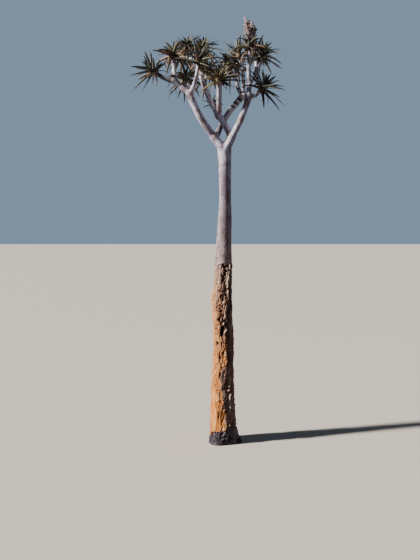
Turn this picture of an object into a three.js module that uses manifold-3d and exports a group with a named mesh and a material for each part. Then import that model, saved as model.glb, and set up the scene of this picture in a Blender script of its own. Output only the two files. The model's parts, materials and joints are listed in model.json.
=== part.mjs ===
// A kokerboom, or quiver tree: one tall tapering trunk that forks in two again and again, with a
// rosette of long succulent leaves on the tip of every branch. Millimetres, +Z up. The origin is
// the middle of the flat cut under the trunk, at ground level, +X runs to the right and +Y away
// from somebody who looks at the tree from its front.

import * as THREE from "three";
import { mergeVertices } from "three/addons/utils/BufferGeometryUtils.js";
import Module from "manifold-3d";

const wasm = await Module();
wasm.setup();

// Driving dimensions of the tree
const TREE_HEIGHT = 5000;
const FORK_HEIGHT = 3485;
const FORK_OFFSET = 25;
const GAP = 0.3;

// Trunk: half its thickness at each height, how far its middle wanders sideways, and its root flare
const TRUNK_RADII = [
  [0, 150],
  [250, 146],
  [660, 134],
  [1140, 117],
  [1550, 115],
  [2030, 101],
  [2520, 85],
  [2860, 70],
  [3100, 71],
  [3270, 76],
  [3440, 83],
  [3485, 86],
];
const TRUNK_WANDER = [
  [0, 0],
  [600, 0],
  [1140, 10],
  [1600, -6],
  [2200, 14],
  [2850, 33],
  [3485, 25],
];
const TRUNK_SIDES = 20;
const TRUNK_RINGS = 28;
const RING_CROWDING = 1.35;
const FLARE_FADE = 100;
const FLARES = [
  { bearing: 0, reach: 80 },
  { bearing: 125, reach: 26 },
  { bearing: 235, reach: 34 },
];
const WORN_HEIGHT = 2350;
const WORN_DEPTH = 5;
const WORN_WAVES = [170, -260];

// Limbs: each row gives the limb's parent, its thickness as a radius where it starts, and its tip
// as right, back and rise from the trunk's fork
const LIMBS = [
  { name: "bough_left", from: "trunk", radius: 54, tip: [-125, -10, 120] },
  { name: "bough_right", from: "trunk", radius: 56, tip: [90, -10, 132] },
  { name: "bough_left_long", from: "bough_left", radius: 43, tip: [-405, -130, 600] },
  { name: "bough_behind", from: "bough_left", radius: 37, tip: [235, 160, 650] },
  { name: "bough_middle", from: "bough_right", radius: 38, tip: [-80, -10, 375] },
  { name: "bough_right_long", from: "bough_right", radius: 38, tip: [280, -160, 580] },
  { name: "branch_left", from: "bough_left_long", radius: 36, tip: [-590, -130, 755] },
  { name: "branch_far_left", from: "branch_left", radius: 28, tip: [-805, -100, 850] },
  { name: "branch_left_high", from: "branch_left", radius: 24, tip: [-605, -30, 1040] },
  { name: "branch_left_inner", from: "bough_left_long", radius: 29, tip: [-365, -165, 670] },
  { name: "branch_left_low", from: "branch_left_inner", radius: 22, tip: [-463, 150, 816] },
  { name: "branch_left_near", from: "branch_left_inner", radius: 23, tip: [-305, -250, 905] },
  { name: "branch_middle", from: "bough_middle", radius: 33, tip: [-268, -180, 800] },
  { name: "branch_middle_high", from: "branch_middle", radius: 25, tip: [-290, 120, 1040] },
  { name: "branch_back", from: "branch_middle", radius: 23, tip: [-220, 420, 970] },
  { name: "branch_top_middle", from: "branch_middle_high", radius: 21, tip: [-270, 80, 1150] },
  { name: "branch_top", from: "branch_middle_high", radius: 21, tip: [-375, 280, 1165] },
  { name: "branch_top_left", from: "branch_top", radius: 19, tip: [-435, 250, 1225] },
  { name: "branch_back_left", from: "branch_top", radius: 19, tip: [-505, 520, 1240] },
  { name: "branch_front", from: "bough_middle", radius: 32, tip: [-60, -300, 690] },
  { name: "branch_sprout", from: "branch_middle", radius: 15, tip: [-138, 150, 530] },
  { name: "branch_inner", from: "bough_behind", radius: 26, tip: [140, 220, 845] },
  { name: "branch_inner_near", from: "branch_inner", radius: 20, tip: [75, 100, 960] },
  { name: "branch_back_inner", from: "branch_inner", radius: 20, tip: [135, 480, 1090] },
  { name: "branch_inner_right", from: "bough_behind", radius: 24, tip: [185, 60, 1065] },
  { name: "branch_far_right", from: "bough_right_long", radius: 26, tip: [415, -180, 625] },
  { name: "branch_right", from: "bough_right_long", radius: 32, tip: [295, 10, 760] },
  { name: "branch_top_right", from: "branch_right", radius: 25, tip: [295, -50, 1130] },
  { name: "branch_right_high", from: "branch_right", radius: 24, tip: [385, 130, 950] },
  { name: "branch_right_outer", from: "branch_right_high", radius: 20, tip: [430, 70, 1050] },
  { name: "branch_back_right", from: "branch_right_high", radius: 20, tip: [395, 450, 1205] },
];
// How far the middle of a limb bows out of a straight line
const BOWS = {
  bough_left_long: [-30, -28, -10],
  bough_behind: [-47, 75, 12],
  bough_middle: [16, 0, 2],
  bough_right_long: [24, -40, -8],
  branch_far_left: [0, 0, -16],
  branch_left_high: [-5, 0, -10],
  branch_left_low: [0, 0, -30],
  branch_left_near: [8, -20, -20],
  branch_middle: [-15, 0, -20],
  branch_middle_high: [-18, 0, 0],
  branch_back: [0, 40, -50],
  branch_top: [-10, 20, -25],
  branch_top_left: [-10, 0, -5],
  branch_back_left: [0, 20, -35],
  branch_front: [0, 0, -25],
  branch_sprout: [5, 8, -8],
  branch_inner: [-10, 0, -10],
  branch_inner_near: [-5, -15, -15],
  branch_back_inner: [0, 30, -35],
  branch_inner_right: [24, 0, 0],
  branch_far_right: [5, 20, -14],
  branch_top_right: [-9, 0, 0],
  branch_right_high: [8, 5, -12],
  branch_right_outer: [5, -5, -8],
  branch_back_right: [0, 25, -35],
};
// How much a limb broadens below its own fork, where that isn't SHOULDER
const BROAD = {
  bough_right: 0,
  bough_middle: 0.35,
  bough_right_long: 0.25,
};
// How far along its parent a limb leaves that isn't half of a fork
const SPROUTS = {
  branch_sprout: 0.26,
};
// The rosette on each limb that ends: its seed, how much more than usual its leaves sag, and how
// many degrees more they rise
const ROSETTES = {
  branch_far_left: { seed: 453, droop: 0.3, lift: 5 },
  branch_left_high: { seed: 701, droop: 1.5, lift: 0 },
  branch_left_low: { seed: 6141, droop: 1.2, lift: -5 },
  branch_left_near: { seed: 7017, droop: 0.3, lift: 5 },
  branch_back: { seed: 8003, droop: 0.3, lift: -15 },
  branch_top_middle: { seed: 7967, droop: 1, lift: -5 },
  branch_top_left: { seed: 4737, droop: 1.5, lift: -15 },
  branch_back_left: { seed: 9345, droop: 1.5, lift: -15 },
  branch_front: { seed: 3786, droop: 0.3, lift: 5 },
  branch_sprout: { seed: 8914, droop: 0.3, lift: 10 },
  branch_inner_near: { seed: 4409, droop: 1.5, lift: -15 },
  branch_back_inner: { seed: 1852, droop: 0.7, lift: -5 },
  branch_inner_right: { seed: 1972, droop: 0.4, lift: 8 },
  branch_far_right: { seed: 4479, droop: 0.5, lift: 0 },
  branch_top_right: { seed: 3094, droop: 1.6, lift: 8 },
  branch_right_outer: { seed: 5099, droop: 1, lift: 8 },
  branch_back_right: { seed: 9372, droop: 1.2, lift: -10 },
};
const LIMB_TAPER = 0.93;
const SHOULDER = 0.16;
const SHOULDER_START = 0.7;
const INSET = 0.6;
const THICK_LIMB = 30;
const RING_SPACING = 90;

// Rosettes: one on each limb that doesn't fork, on a short stem that carries the leaves
const STEM_LENGTH = 92;
const STEM_SIDES = 6;
const STEM_SWELL = 0.85;
const STEM_CLOSING = 0.9;
const LEAVES = 19;
const SPROUT_LEAVES = 12;
const LEAF_LENGTH = 300;
const LEAF_HALF_WIDTH = 26;
const LEAF_POINT = 0.62;
const LEAF_NECK = 0.62;
const NECK_LENGTH = 0.25;
const LEAF_THICKNESS = 9;
const KEEL_POINT = 0.4;
const LEAF_STEPS = 3;
const SHORT_LEAF_AGE = 0.55;
const LEAF_ROOT_DEPTH = 0.4;
const GOLDEN_ANGLE = 137.508;
const TURN_SPREAD = 24;
const LOWEST_PITCH = -5;
const HIGHEST_PITCH = 62;
const PITCH_SPREAD = 18;
const LOWEST_ROOT = 0.14;
const HIGHEST_ROOT = 0.9;
const LENGTH_LEAST = 0.9;
const LENGTH_SPREAD = 0.22;
const YOUNG_AGE = 0.6;
const YOUNG_SHORTER = 0.5;
const OLD_SHORTER = 0.1;
const SAG = 0.48;
const SAG_LEAST = 0.3;
const SAG_SPREAD = 1.4;
const SAG_LOST = 0.8;
const SPROUT_SIZE = 0.5;

// Room that a leaf needs from limbs and from other rosettes' leaves
const SAMPLE_SPACING = 25;
const SAMPLES_FROM = 0.22;
const LEAF_ROOM = 3;
const LEAF_REACH = 9;

// Dry flower panicle over the top right rosette: upright spikes of seed pods on one stalk
const PANICLE_LIMB = "branch_top_right";
const PANICLE_SPIKES = [
  { lean: [-56, 0], top: 1 },
  { lean: [-30, 40], top: 0.82 },
  { lean: [20, -25], top: 0.78 },
  { lean: [-38, -40], top: 0.6 },
  { lean: [65, 10], top: 0.58 },
];
const SPIKE_SIDES = 5;
const SPIKE_STEPS = 8;
const STALK_RADIUS = 8;
const STALK_FOOT = 0.6;
const SPIKE_BEND = { lean: 0.35, rise: 0.3 };
const POD_REACH = 26;
const PODS_FROM = 0.3;
const PODS_FULL = 0.45;
const POD_POINT = 0.35;
const POD_WAIST = 0.7;

// How far a fused rosette's faces may be evened out, before and after it is cut clear of its limb
const EVENED = 1.2;
const EVENED_CUT = 0.1;

// Rings past this share of a piece's length are its end
const AT_END = 0.999;

const UP = new THREE.Vector3(0, 0, 1);
const BACK = new THREE.Vector3(0, 1, 0);
const radians = THREE.MathUtils.degToRad;
const mix = THREE.MathUtils.lerp;

// The value at x of a smooth run through rows of [x, value]
function smoothRun(rows, x) {
  const last = rows.length - 1;
  const found = rows.findIndex((row) => row[0] > x);
  const i = found < 0 ? last - 1 : Math.max(found - 1, 0);
  const share = THREE.MathUtils.clamp((x - rows[i][0]) / (rows[i + 1][0] - rows[i][0]), 0, 1);
  return mix(rows[i][1], rows[i + 1][1], share * share * (3 - 2 * share));
}

// A seeded run of numbers from 0 to 1
function seeded(seed) {
  let state = seed;
  return () => {
    state = (state * 48271) % 2147483647;
    return state / 2147483647;
  };
}

// A solid from a three.js geometry: only its places are kept, and shared corners are merged
function solidOf(geometry) {
  const bare = new THREE.BufferGeometry();
  bare.setAttribute("position", geometry.getAttribute("position"));
  bare.setIndex(geometry.getIndex());
  const merged = mergeVertices(bare, 1e-3);
  const mesh = new wasm.Mesh({
    numProp: 3,
    vertProperties: new Float32Array(merged.attributes.position.array),
    triVerts: new Uint32Array(merged.index.array),
  });
  return new wasm.Manifold(mesh);
}

// A solid bent out of a cylinder or a cone: place gives the point for a share of its length and
// a place on the unit circle
function bent(shape, place) {
  const at = shape.getAttribute("position");
  for (let i = 0; i < at.count; i++) {
    const share = at.getY(i) + 0.5;
    const p = place(share, at.getX(i), at.getZ(i));
    at.setXYZ(i, p.x, p.y, p.z);
  }
  return solidOf(shape);
}

// Two directions square to a run, the first of them also square to the line of sight
function squareTo(run) {
  const side = new THREE.Vector3().crossVectors(BACK, run).normalize();
  return [side, new THREE.Vector3().crossVectors(side, run).normalize()];
}

// The trunk, with level rings. Its foot spreads into flares, and below the worn height its
// surface swells and hollows where the outer bark has come away.
function trunkRadius(height, bearing) {
  let radius = smoothRun(TRUNK_RADII, height);
  for (const flare of FLARES) {
    const facing = Math.max(Math.cos(bearing - radians(flare.bearing)), 0);
    radius += flare.reach * facing ** 3 * Math.exp(-height / FLARE_FADE);
  }
  const worn = 1 - THREE.MathUtils.smoothstep(height, WORN_HEIGHT * 0.8, WORN_HEIGHT * 1.05);
  const [short, long] = WORN_WAVES;
  const swell = Math.sin(3 * bearing + height / short) + Math.sin(2 * bearing + height / long + 1);
  return radius + worn * WORN_DEPTH * 0.5 * swell;
}

function trunkSolid(clear = 0) {
  const shape = new THREE.CylinderGeometry(1, 1, 1, TRUNK_SIDES, TRUNK_RINGS);
  return bent(shape, (share, x, z) => {
    const height = FORK_HEIGHT * share ** RING_CROWDING;
    const reach = Math.hypot(x, z) < 0.5 ? 0 : trunkRadius(height, Math.atan2(-z, x)) + clear;
    const bearing = Math.atan2(-z, x);
    return new THREE.Vector3(
      smoothRun(TRUNK_WANDER, height) + reach * Math.cos(bearing),
      reach * Math.sin(bearing),
      height + (share > AT_END ? clear : 0),
    );
  });
}

// Each limb's curve starts a little inside its parent's end
const fork = new THREE.Vector3(FORK_OFFSET, 0, FORK_HEIGHT);
const limbs = new Map();
limbs.set("trunk", {
  name: "trunk",
  curve: new THREE.LineCurve3(new THREE.Vector3(FORK_OFFSET, 0, FORK_HEIGHT - 300), fork),
  radius: TRUNK_RADII.at(-1)[1] / LIMB_TAPER,
  tip: fork,
});
for (const row of LIMBS) {
  const parent = limbs.get(row.from);
  const sprouts = row.name in SPROUTS;
  const along = SPROUTS[row.name] ?? 1;
  const joint = parent.curve.getPoint(along);
  const heading = parent.curve.getTangent(along);
  const inset = sprouts ? 0 : INSET * parent.radius;
  const start = joint.clone().addScaledVector(heading, -inset);
  const tip = fork.clone().add(new THREE.Vector3(...row.tip));
  const bow = new THREE.Vector3(...(BOWS[row.name] ?? [0, 0, 0]));
  const middle = start.clone().add(tip).multiplyScalar(0.5).addScaledVector(bow, 2);
  const curve = new THREE.QuadraticBezierCurve3(start, middle, tip);
  limbs.set(row.name, { ...row, parent, joint, curve, tip, sprouts });
}
const children = (limb) => [...limbs.values()].filter((other) => other.parent === limb);
const forks = (limb) => children(limb).some((child) => !child.sprouts);

// How far a limb's surface is from its middle line. A limb that forks broadens towards its end.
function limbRadius(limb, share) {
  const plain = limb.radius * mix(1, LIMB_TAPER, share);
  const broad = forks(limb) ? (BROAD[limb.name] ?? SHOULDER) : 0;
  return plain * (1 + broad * THREE.MathUtils.smoothstep(share, SHOULDER_START, 1));
}

function limbSolid(limb, clear = 0) {
  if (limb.name === "trunk") return trunkSolid(clear);
  const sides = limb.radius > THICK_LIMB ? 10 : 7;
  const rings = Math.max(3, Math.round(limb.curve.getLength() / RING_SPACING));
  const shape = new THREE.CylinderGeometry(1, 1, 1, sides, rings);
  return bent(shape, (share, x, z) => {
    const run = limb.curve.getTangent(share);
    const [side, other] = squareTo(run);
    const ends = share > AT_END ? clear : share < 1 - AT_END ? -clear : 0;
    const reach = limbRadius(limb, share) + clear;
    return limb.curve
      .getPoint(share)
      .addScaledVector(run, ends)
      .addScaledVector(side, x * reach)
      .addScaledVector(other, z * reach);
  });
}

// A limb as it is fitted: hollowed by its forebears, and cut square against its twin, so that
// the two halves of a fork meet in a plane
function fittedLimb(limb) {
  let solid = limbSolid(limb);
  for (let elder = limb.parent; elder; elder = elder.parent) {
    solid = solid.subtract(limbSolid(elder, GAP));
  }
  const twin = children(limb.parent).find((other) => other !== limb && !other.sprouts);
  if (twin && !limb.sprouts) {
    const mine = limb.curve.getPoint(0.5).sub(limb.joint).normalize();
    const theirs = twin.curve.getPoint(0.5).sub(limb.joint).normalize();
    const apart = mine.sub(theirs).normalize();
    solid = solid.trimByPlane(apart.toArray(), apart.dot(limb.joint) + GAP / 2);
  }
  return largest(solid);
}

// The largest loose piece of a solid
function largest(solid) {
  return solid.decompose().reduce((a, b) => (a.volume() > b.volume() ? a : b));
}

// A rosette's stem carries on from its limb's tip, GAP clear, and ends in a low dome
function rosetteOn(limb) {
  const axis = limb.curve.getTangent(1);
  const [side, other] = squareTo(axis);
  return {
    limb,
    name: limb.name.replace("branch", "rosette"),
    axis,
    side,
    other,
    radius: limb.radius * LIMB_TAPER,
    size: limb.sprouts ? SPROUT_SIZE : 1,
    count: limb.sprouts ? SPROUT_LEAVES : LEAVES,
    foot: limb.tip.clone().addScaledVector(axis, GAP),
    random: seeded(ROSETTES[limb.name].seed),
    droop: ROSETTES[limb.name].droop,
    lift: ROSETTES[limb.name].lift,
    leaves: [],
  };
}

// The stem swells over its length, where the leaves clasp it, and closes at its top
function stemShape(share) {
  return (1 + STEM_SWELL * Math.sin(Math.PI * share)) * Math.sqrt(1 - STEM_CLOSING * share ** 3);
}

function stemSolid(rosette) {
  const length = STEM_LENGTH * rosette.size;
  const shape = new THREE.CylinderGeometry(1, 1, 1, STEM_SIDES, 3);
  return bent(shape, (share, x, z) => {
    const reach = rosette.radius * stemShape(share);
    return rosette.foot
      .clone()
      .addScaledVector(rosette.axis, share * length)
      .addScaledVector(rosette.side, x * reach)
      .addScaledVector(rosette.other, z * reach);
  });
}

// One leaf of a rosette, from the lowest and oldest at age 0 to the youngest at age 1. It leaves
// the stem a golden angle on from the leaf before, and old leaves spread and hang further.
function growLeaf(rosette, number) {
  const { random, size, count } = rosette;
  const age = number / (count - 1);
  const turn = radians(number * GOLDEN_ANGLE + TURN_SPREAD * (random() - 0.5));
  const rise = mix(LOWEST_PITCH, HIGHEST_PITCH, age) + rosette.lift;
  const pitch = radians(rise + PITCH_SPREAD * (random() - 0.5));
  const young = Math.max(age - YOUNG_AGE, 0) / (1 - YOUNG_AGE);
  const shorter = YOUNG_SHORTER * young + OLD_SHORTER * (1 - age);
  const length = LEAF_LENGTH * size * (LENGTH_LEAST + LENGTH_SPREAD * random() - shorter);
  const sag = SAG * rosette.droop * (1 - SAG_LOST * age) * (SAG_LEAST + SAG_SPREAD * random());
  const outward = rosette.side
    .clone()
    .multiplyScalar(Math.cos(turn))
    .addScaledVector(rosette.other, Math.sin(turn));
  const heading = outward
    .clone()
    .multiplyScalar(Math.cos(pitch))
    .addScaledVector(rosette.axis, Math.sin(pitch));
  const root = rosette.foot
    .clone()
    .addScaledVector(rosette.axis, STEM_LENGTH * size * mix(LOWEST_ROOT, HIGHEST_ROOT, age))
    .addScaledVector(outward, LEAF_ROOT_DEPTH * rosette.radius);
  const across = new THREE.Vector3().crossVectors(rosette.axis, heading).normalize();
  return { age, root, heading, across, length, sag, size };
}

const leafPoint = (leaf, share) =>
  leaf.root
    .clone()
    .addScaledVector(leaf.heading, leaf.length * share)
    .addScaledVector(UP, -leaf.sag * leaf.length * share ** 2);
const leafHalfWidth = (leaf, share) => {
  const neck = mix(LEAF_NECK, 1, Math.min(share / NECK_LENGTH, 1));
  return LEAF_HALF_WIDTH * neck * leaf.size ** 0.5 * (1 - share) ** LEAF_POINT;
};

// A leaf is a three-sided blade: flat above, with a keel under its middle
function leafSolid(leaf) {
  const steps = leaf.age > SHORT_LEAF_AGE ? LEAF_STEPS - 1 : LEAF_STEPS;
  const shape = new THREE.ConeGeometry(1, 1, 3, steps);
  const corner = Math.sin(radians(120));
  return bent(shape, (share, x, z) => {
    const run = leaf.heading.clone().addScaledVector(UP, -2 * leaf.sag * share).normalize();
    const above = new THREE.Vector3().crossVectors(run, leaf.across);
    const left = Math.max(1 - share, 1e-6);
    const out = (x / left / corner) * leafHalfWidth(leaf, share);
    const under = LEAF_THICKNESS * (1 - share) ** KEEL_POINT * ((z / left + 0.5) / 1.5);
    const wide = share > AT_END ? 0 : 1;
    return leafPoint(leaf, share)
      .addScaledVector(leaf.across, wide * out)
      .addScaledVector(above, -wide * under);
  });
}

// Points along a limb, a stem or a leaf, each with the room that it takes
function samples(from, length, pointAt, radiusAt) {
  const count = Math.ceil(length / SAMPLE_SPACING);
  return Array.from({ length: count + 1 }, (_, i) => ({
    at: pointAt(mix(from, 1, i / count)),
    room: radiusAt(mix(from, 1, i / count)),
  }));
}
const limbSamples = (limb) =>
  samples(0, limb.curve.getLength(), (s) => limb.curve.getPoint(s), (s) => limbRadius(limb, s));
const stemSamples = (rosette) =>
  samples(
    0,
    STEM_LENGTH * rosette.size,
    (s) => rosette.foot.clone().addScaledVector(rosette.axis, s * STEM_LENGTH * rosette.size),
    () => rosette.radius,
  );
const leafSamples = (leaf) =>
  samples(
    SAMPLES_FROM,
    leaf.length,
    (s) => leafPoint(leaf, s),
    (s) => Math.max(leafHalfWidth(leaf, s), LEAF_REACH),
  );
const touches = (some, others) =>
  some.some((a) => others.some((b) => a.at.distanceTo(b.at) < a.room + b.room + LEAF_ROOM));

// Every rosette puts out its leaves in turn, the oldest first. A leaf that would touch a limb,
// another rosette's stem or another rosette's leaf isn't grown.
function growRosettes() {
  const grown = [...limbs.values()].filter((limb) => limb.name in ROSETTES).map(rosetteOn);
  const wood = [...limbs.values()].flatMap(limbSamples);
  for (const rosette of grown) rosette.stem = stemSamples(rosette);
  for (let number = 0; number < LEAVES; number++) {
    for (const rosette of grown.filter((each) => number < each.count)) {
      const leaf = growLeaf(rosette, number);
      const room = leafSamples(leaf);
      const others = grown.filter((other) => other !== rosette);
      const blocked =
        touches(room, wood) ||
        others.some((other) => touches(room, other.stem)) ||
        others.some((other) => other.leaves.some((old) => touches(room, old.room)));
      if (!blocked) rosette.leaves.push({ ...leaf, room });
    }
  }
  return grown;
}

// The panicle: spikes that part above one stalk, each knobbly with pods from a third of its way up
function panicleSolids(rosette) {
  const foot = rosette.foot.clone().addScaledVector(rosette.axis, STEM_LENGTH * STALK_FOOT);
  const rise = TREE_HEIGHT - foot.z;
  return PANICLE_SPIKES.map((spike) => {
    const lean = new THREE.Vector3(...spike.lean, 0);
    const top = foot.clone().add(lean).addScaledVector(UP, rise * spike.top);
    const middle = foot
      .clone()
      .addScaledVector(lean, SPIKE_BEND.lean)
      .addScaledVector(UP, rise * SPIKE_BEND.rise);
    const curve = new THREE.QuadraticBezierCurve3(foot, middle, top);
    const reachAt = (share) => {
      const podded = THREE.MathUtils.smoothstep(share, PODS_FROM, PODS_FULL) * (1 - share) ** POD_POINT;
      const knob = Math.round(share * SPIKE_STEPS) % 2 ? 1 : POD_WAIST;
      return mix(STALK_RADIUS, 0, share) + POD_REACH * podded * knob;
    };
    const shape = new THREE.ConeGeometry(1, 1, SPIKE_SIDES, SPIKE_STEPS);
    return bent(shape, (share, x, z) => {
      const [side, other] = squareTo(curve.getTangent(share));
      const reach = share > AT_END ? 0 : reachAt(share) / (1 - share);
      return curve
        .getPoint(share)
        .addScaledVector(side, x * reach)
        .addScaledVector(other, z * reach);
    });
  });
}

function rosetteSolid(rosette) {
  const parts = [stemSolid(rosette), ...rosette.leaves.map(leafSolid)];
  if (rosette.limb.name === PANICLE_LIMB) parts.push(...panicleSolids(rosette));
  const whole = wasm.Manifold.union(parts).simplify(EVENED);
  return largest(whole.subtract(limbSolid(rosette.limb, GAP)).simplify(EVENED_CUT));
}

// Colours and finishes
const TRUNK_BARK = new THREE.MeshStandardMaterial({ color: 0xb48a5c, roughness: 0.85, metalness: 0 });
const BOUGH_BARK = new THREE.MeshStandardMaterial({ color: 0xb9aea8, roughness: 0.7, metalness: 0 });
const LEAF_SKIN = new THREE.MeshStandardMaterial({ color: 0x6b7042, roughness: 0.55, metalness: 0 });

const tree = new THREE.Group();
tree.name = "kokerboom_tree";

function addPiece(name, solid, material) {
  const { vertProperties, triVerts, numProp } = solid.getMesh();
  const geometry = new THREE.BufferGeometry();
  const places = new Float32Array((vertProperties.length / numProp) * 3);
  for (let i = 0; i < places.length / 3; i++) {
    places.set(vertProperties.subarray(i * numProp, i * numProp + 3), i * 3);
  }
  geometry.setAttribute("position", new THREE.BufferAttribute(places, 3));
  geometry.setIndex(new THREE.BufferAttribute(new Uint32Array(triVerts), 1));
  geometry.computeVertexNormals();
  const mesh = new THREE.Mesh(geometry, material);
  mesh.name = name;
  tree.add(mesh);
}

for (const limb of limbs.values()) {
  const solid = limb.parent ? fittedLimb(limb) : trunkSolid();
  addPiece(limb.name, solid, limb.parent ? BOUGH_BARK : TRUNK_BARK);
}
for (const rosette of growRosettes()) {
  addPiece(rosette.name, rosetteSolid(rosette), LEAF_SKIN);
}

export default tree;
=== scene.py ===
# %% [markdown]
# # A kokerboom, the quiver tree of the dry south
# Plain solids of one tall kokerboom give its size, its forks and the reach of every leaf. Here
# finer surfaces take their place: split golden bark, smooth pale boughs and channelled leaves.
# Numbers are millimetres, as on the solids, until a mesh is made of them.

# %% Load the solids as a fixed frame
import json
import math
from functools import partial
from itertools import product
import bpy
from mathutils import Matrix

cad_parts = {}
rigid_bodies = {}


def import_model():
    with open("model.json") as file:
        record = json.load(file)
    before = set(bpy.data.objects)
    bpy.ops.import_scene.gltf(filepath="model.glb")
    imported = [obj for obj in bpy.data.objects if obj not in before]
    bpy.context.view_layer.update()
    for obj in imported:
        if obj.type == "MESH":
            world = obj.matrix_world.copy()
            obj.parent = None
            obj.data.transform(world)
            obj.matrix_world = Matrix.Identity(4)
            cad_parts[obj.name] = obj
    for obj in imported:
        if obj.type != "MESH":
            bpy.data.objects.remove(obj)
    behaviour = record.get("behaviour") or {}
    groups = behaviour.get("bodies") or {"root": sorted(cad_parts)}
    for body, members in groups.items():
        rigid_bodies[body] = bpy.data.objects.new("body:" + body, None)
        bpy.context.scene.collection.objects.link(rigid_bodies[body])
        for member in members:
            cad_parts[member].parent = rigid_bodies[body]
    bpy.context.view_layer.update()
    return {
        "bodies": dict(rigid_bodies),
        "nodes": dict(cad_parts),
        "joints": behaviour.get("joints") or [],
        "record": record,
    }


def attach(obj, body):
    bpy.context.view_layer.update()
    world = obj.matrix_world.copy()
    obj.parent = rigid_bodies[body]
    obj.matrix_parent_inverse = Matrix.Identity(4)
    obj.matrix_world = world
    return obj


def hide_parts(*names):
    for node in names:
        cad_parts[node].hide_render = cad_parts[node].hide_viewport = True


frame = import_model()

from types import SimpleNamespace

import bpy
import numpy as np
from mathutils import Vector

MM = 0.001
UP = np.array([0.0, 0.0, 1.0])
BACK = np.array([0.0, 1.0, 0.0])

# %% [markdown]
# ## The camera and the light
# The camera stood seven and a half metres away, level with the middle of the trunk. A lens shift
# keeps the trunk upright, where tilting the camera would make it lean. A softened sun is low on the
# left, and broad lamps fill the shade: bluish from above, warm from near the ground. Only the
# camera sees the backdrop's own colour.

# %% Camera
PICTURE = (420, 560)
FOCAL_PIXELS = 630
HORIZON_ROW = 236
TRUNK_COLUMN = 222.5
SENSOR = 24
CAMERA_PLACE = (0, -7.4655, 2.42925)


def show(name, data):
    """A new object in the scene."""
    thing = bpy.data.objects.new(name, data)
    bpy.context.scene.collection.objects.link(thing)
    return thing


camera_data = bpy.data.cameras.new("camera")
camera = show("camera", camera_data)
camera.location = CAMERA_PLACE
camera.rotation_euler = (math.pi / 2, 0, 0)
camera_data.sensor_fit = "VERTICAL"
camera_data.sensor_height = SENSOR
camera_data.lens = SENSOR * FOCAL_PIXELS / PICTURE[1]
camera_data.shift_x = (PICTURE[0] / 2 - TRUNK_COLUMN) / PICTURE[1]
camera_data.shift_y = (HORIZON_ROW - PICTURE[1] / 2) / PICTURE[1]
camera_data.clip_end = 200
bpy.context.scene.camera = camera
print("lens of", camera_data.lens, "mm")

# %% Lamps
def lamp(name, kind, place, aim, strength, colour, size):
    """A lamp that shines towards the aim. size is a square lamp's side, or the sun's in degrees."""
    data = bpy.data.lights.new(name, kind)
    if kind == "SUN":
        data.angle = math.radians(size)
    else:
        data.size = size
    data.energy = strength
    data.color = colour
    light = show(name, data)
    light.location = place
    light.rotation_euler = (Vector(aim) - Vector(place)).to_track_quat("-Z", "Y").to_euler()
    print(name, "lamp at", place)


lamp("key", "SUN", (-9.6, -2.5, 8.7), (0, 0, 3.0), 9.5, (1.0, 0.93, 0.84), 4)
lamp("fill", "AREA", (5.5, -7.0, 4.5), (0, 0, 3.2), 17, (0.5, 0.72, 1.0), 5)
lamp("bounce", "AREA", (4.2, -2.4, 0.4), (0, 0, 0.9), 29, (1.0, 0.62, 0.42), 3)
lamp("rim", "AREA", (3.0, 7.0, 6.5), (0, 0, 3.0), 13, (0.46, 0.7, 1.0), 4)

# %% Backdrop
AMBIENT, BACKDROP = 0.08, 0.44
world = bpy.data.worlds.new("studio")
bpy.context.scene.world = world
world.use_nodes = True
nodes, links = world.node_tree.nodes, world.node_tree.links
studio = nodes["Background"]
studio.inputs["Color"].default_value = (0.48, 0.67, 0.92, 1)
rays = nodes.new("ShaderNodeLightPath")
level = nodes.new("ShaderNodeMapRange")
level.inputs["To Min"].default_value = AMBIENT
level.inputs["To Max"].default_value = BACKDROP
links.new(rays.outputs["Is Camera Ray"], level.inputs["Value"])
links.new(level.outputs["Result"], studio.inputs["Strength"])
print("backdrop at", BACKDROP, "and", AMBIENT, "as light")

# %% [markdown]
# ## Shader maths in plain Python
# A pattern reads better as a sum than as a picture of wires. `Socket` wraps a node's output, and
# its operators add Math nodes. `Finish` wraps a material, and its method `node` makes any other
# node. Colours are written as a picture shows them, from 0 to 255.

# %% Sockets
def linear(shown):
    """The light that a shown colour stands for: a straight line when very dark, else a power."""
    parts = [value / 255 for value in shown]
    return tuple(v / 12.92 if v <= 0.04045 else ((v + 0.055) / 1.055) ** 2.4 for v in parts)


class Socket:
    """One output of a node, on which + - * and step build further nodes."""

    def __init__(self, finish, output):
        self.finish, self.output = finish, output

    def maths(self, operation, *values):
        return self.finish.node("ShaderNodeMath", {"operation": operation}, dict(enumerate(values)))

    def __add__(self, other):
        return self.maths("ADD", self, other)

    def __rsub__(self, other):
        return self.maths("SUBTRACT", other, self)

    def __mul__(self, other):
        return self.maths("MULTIPLY", self, other)

    __radd__ = __add__
    __rmul__ = __mul__

    def step(self, low, high):
        """0 below low, 1 above high and a straight slope between."""
        return self.finish.node("ShaderNodeMapRange", {"clamp": True}, {0: self, 1: low, 2: high})

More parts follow.
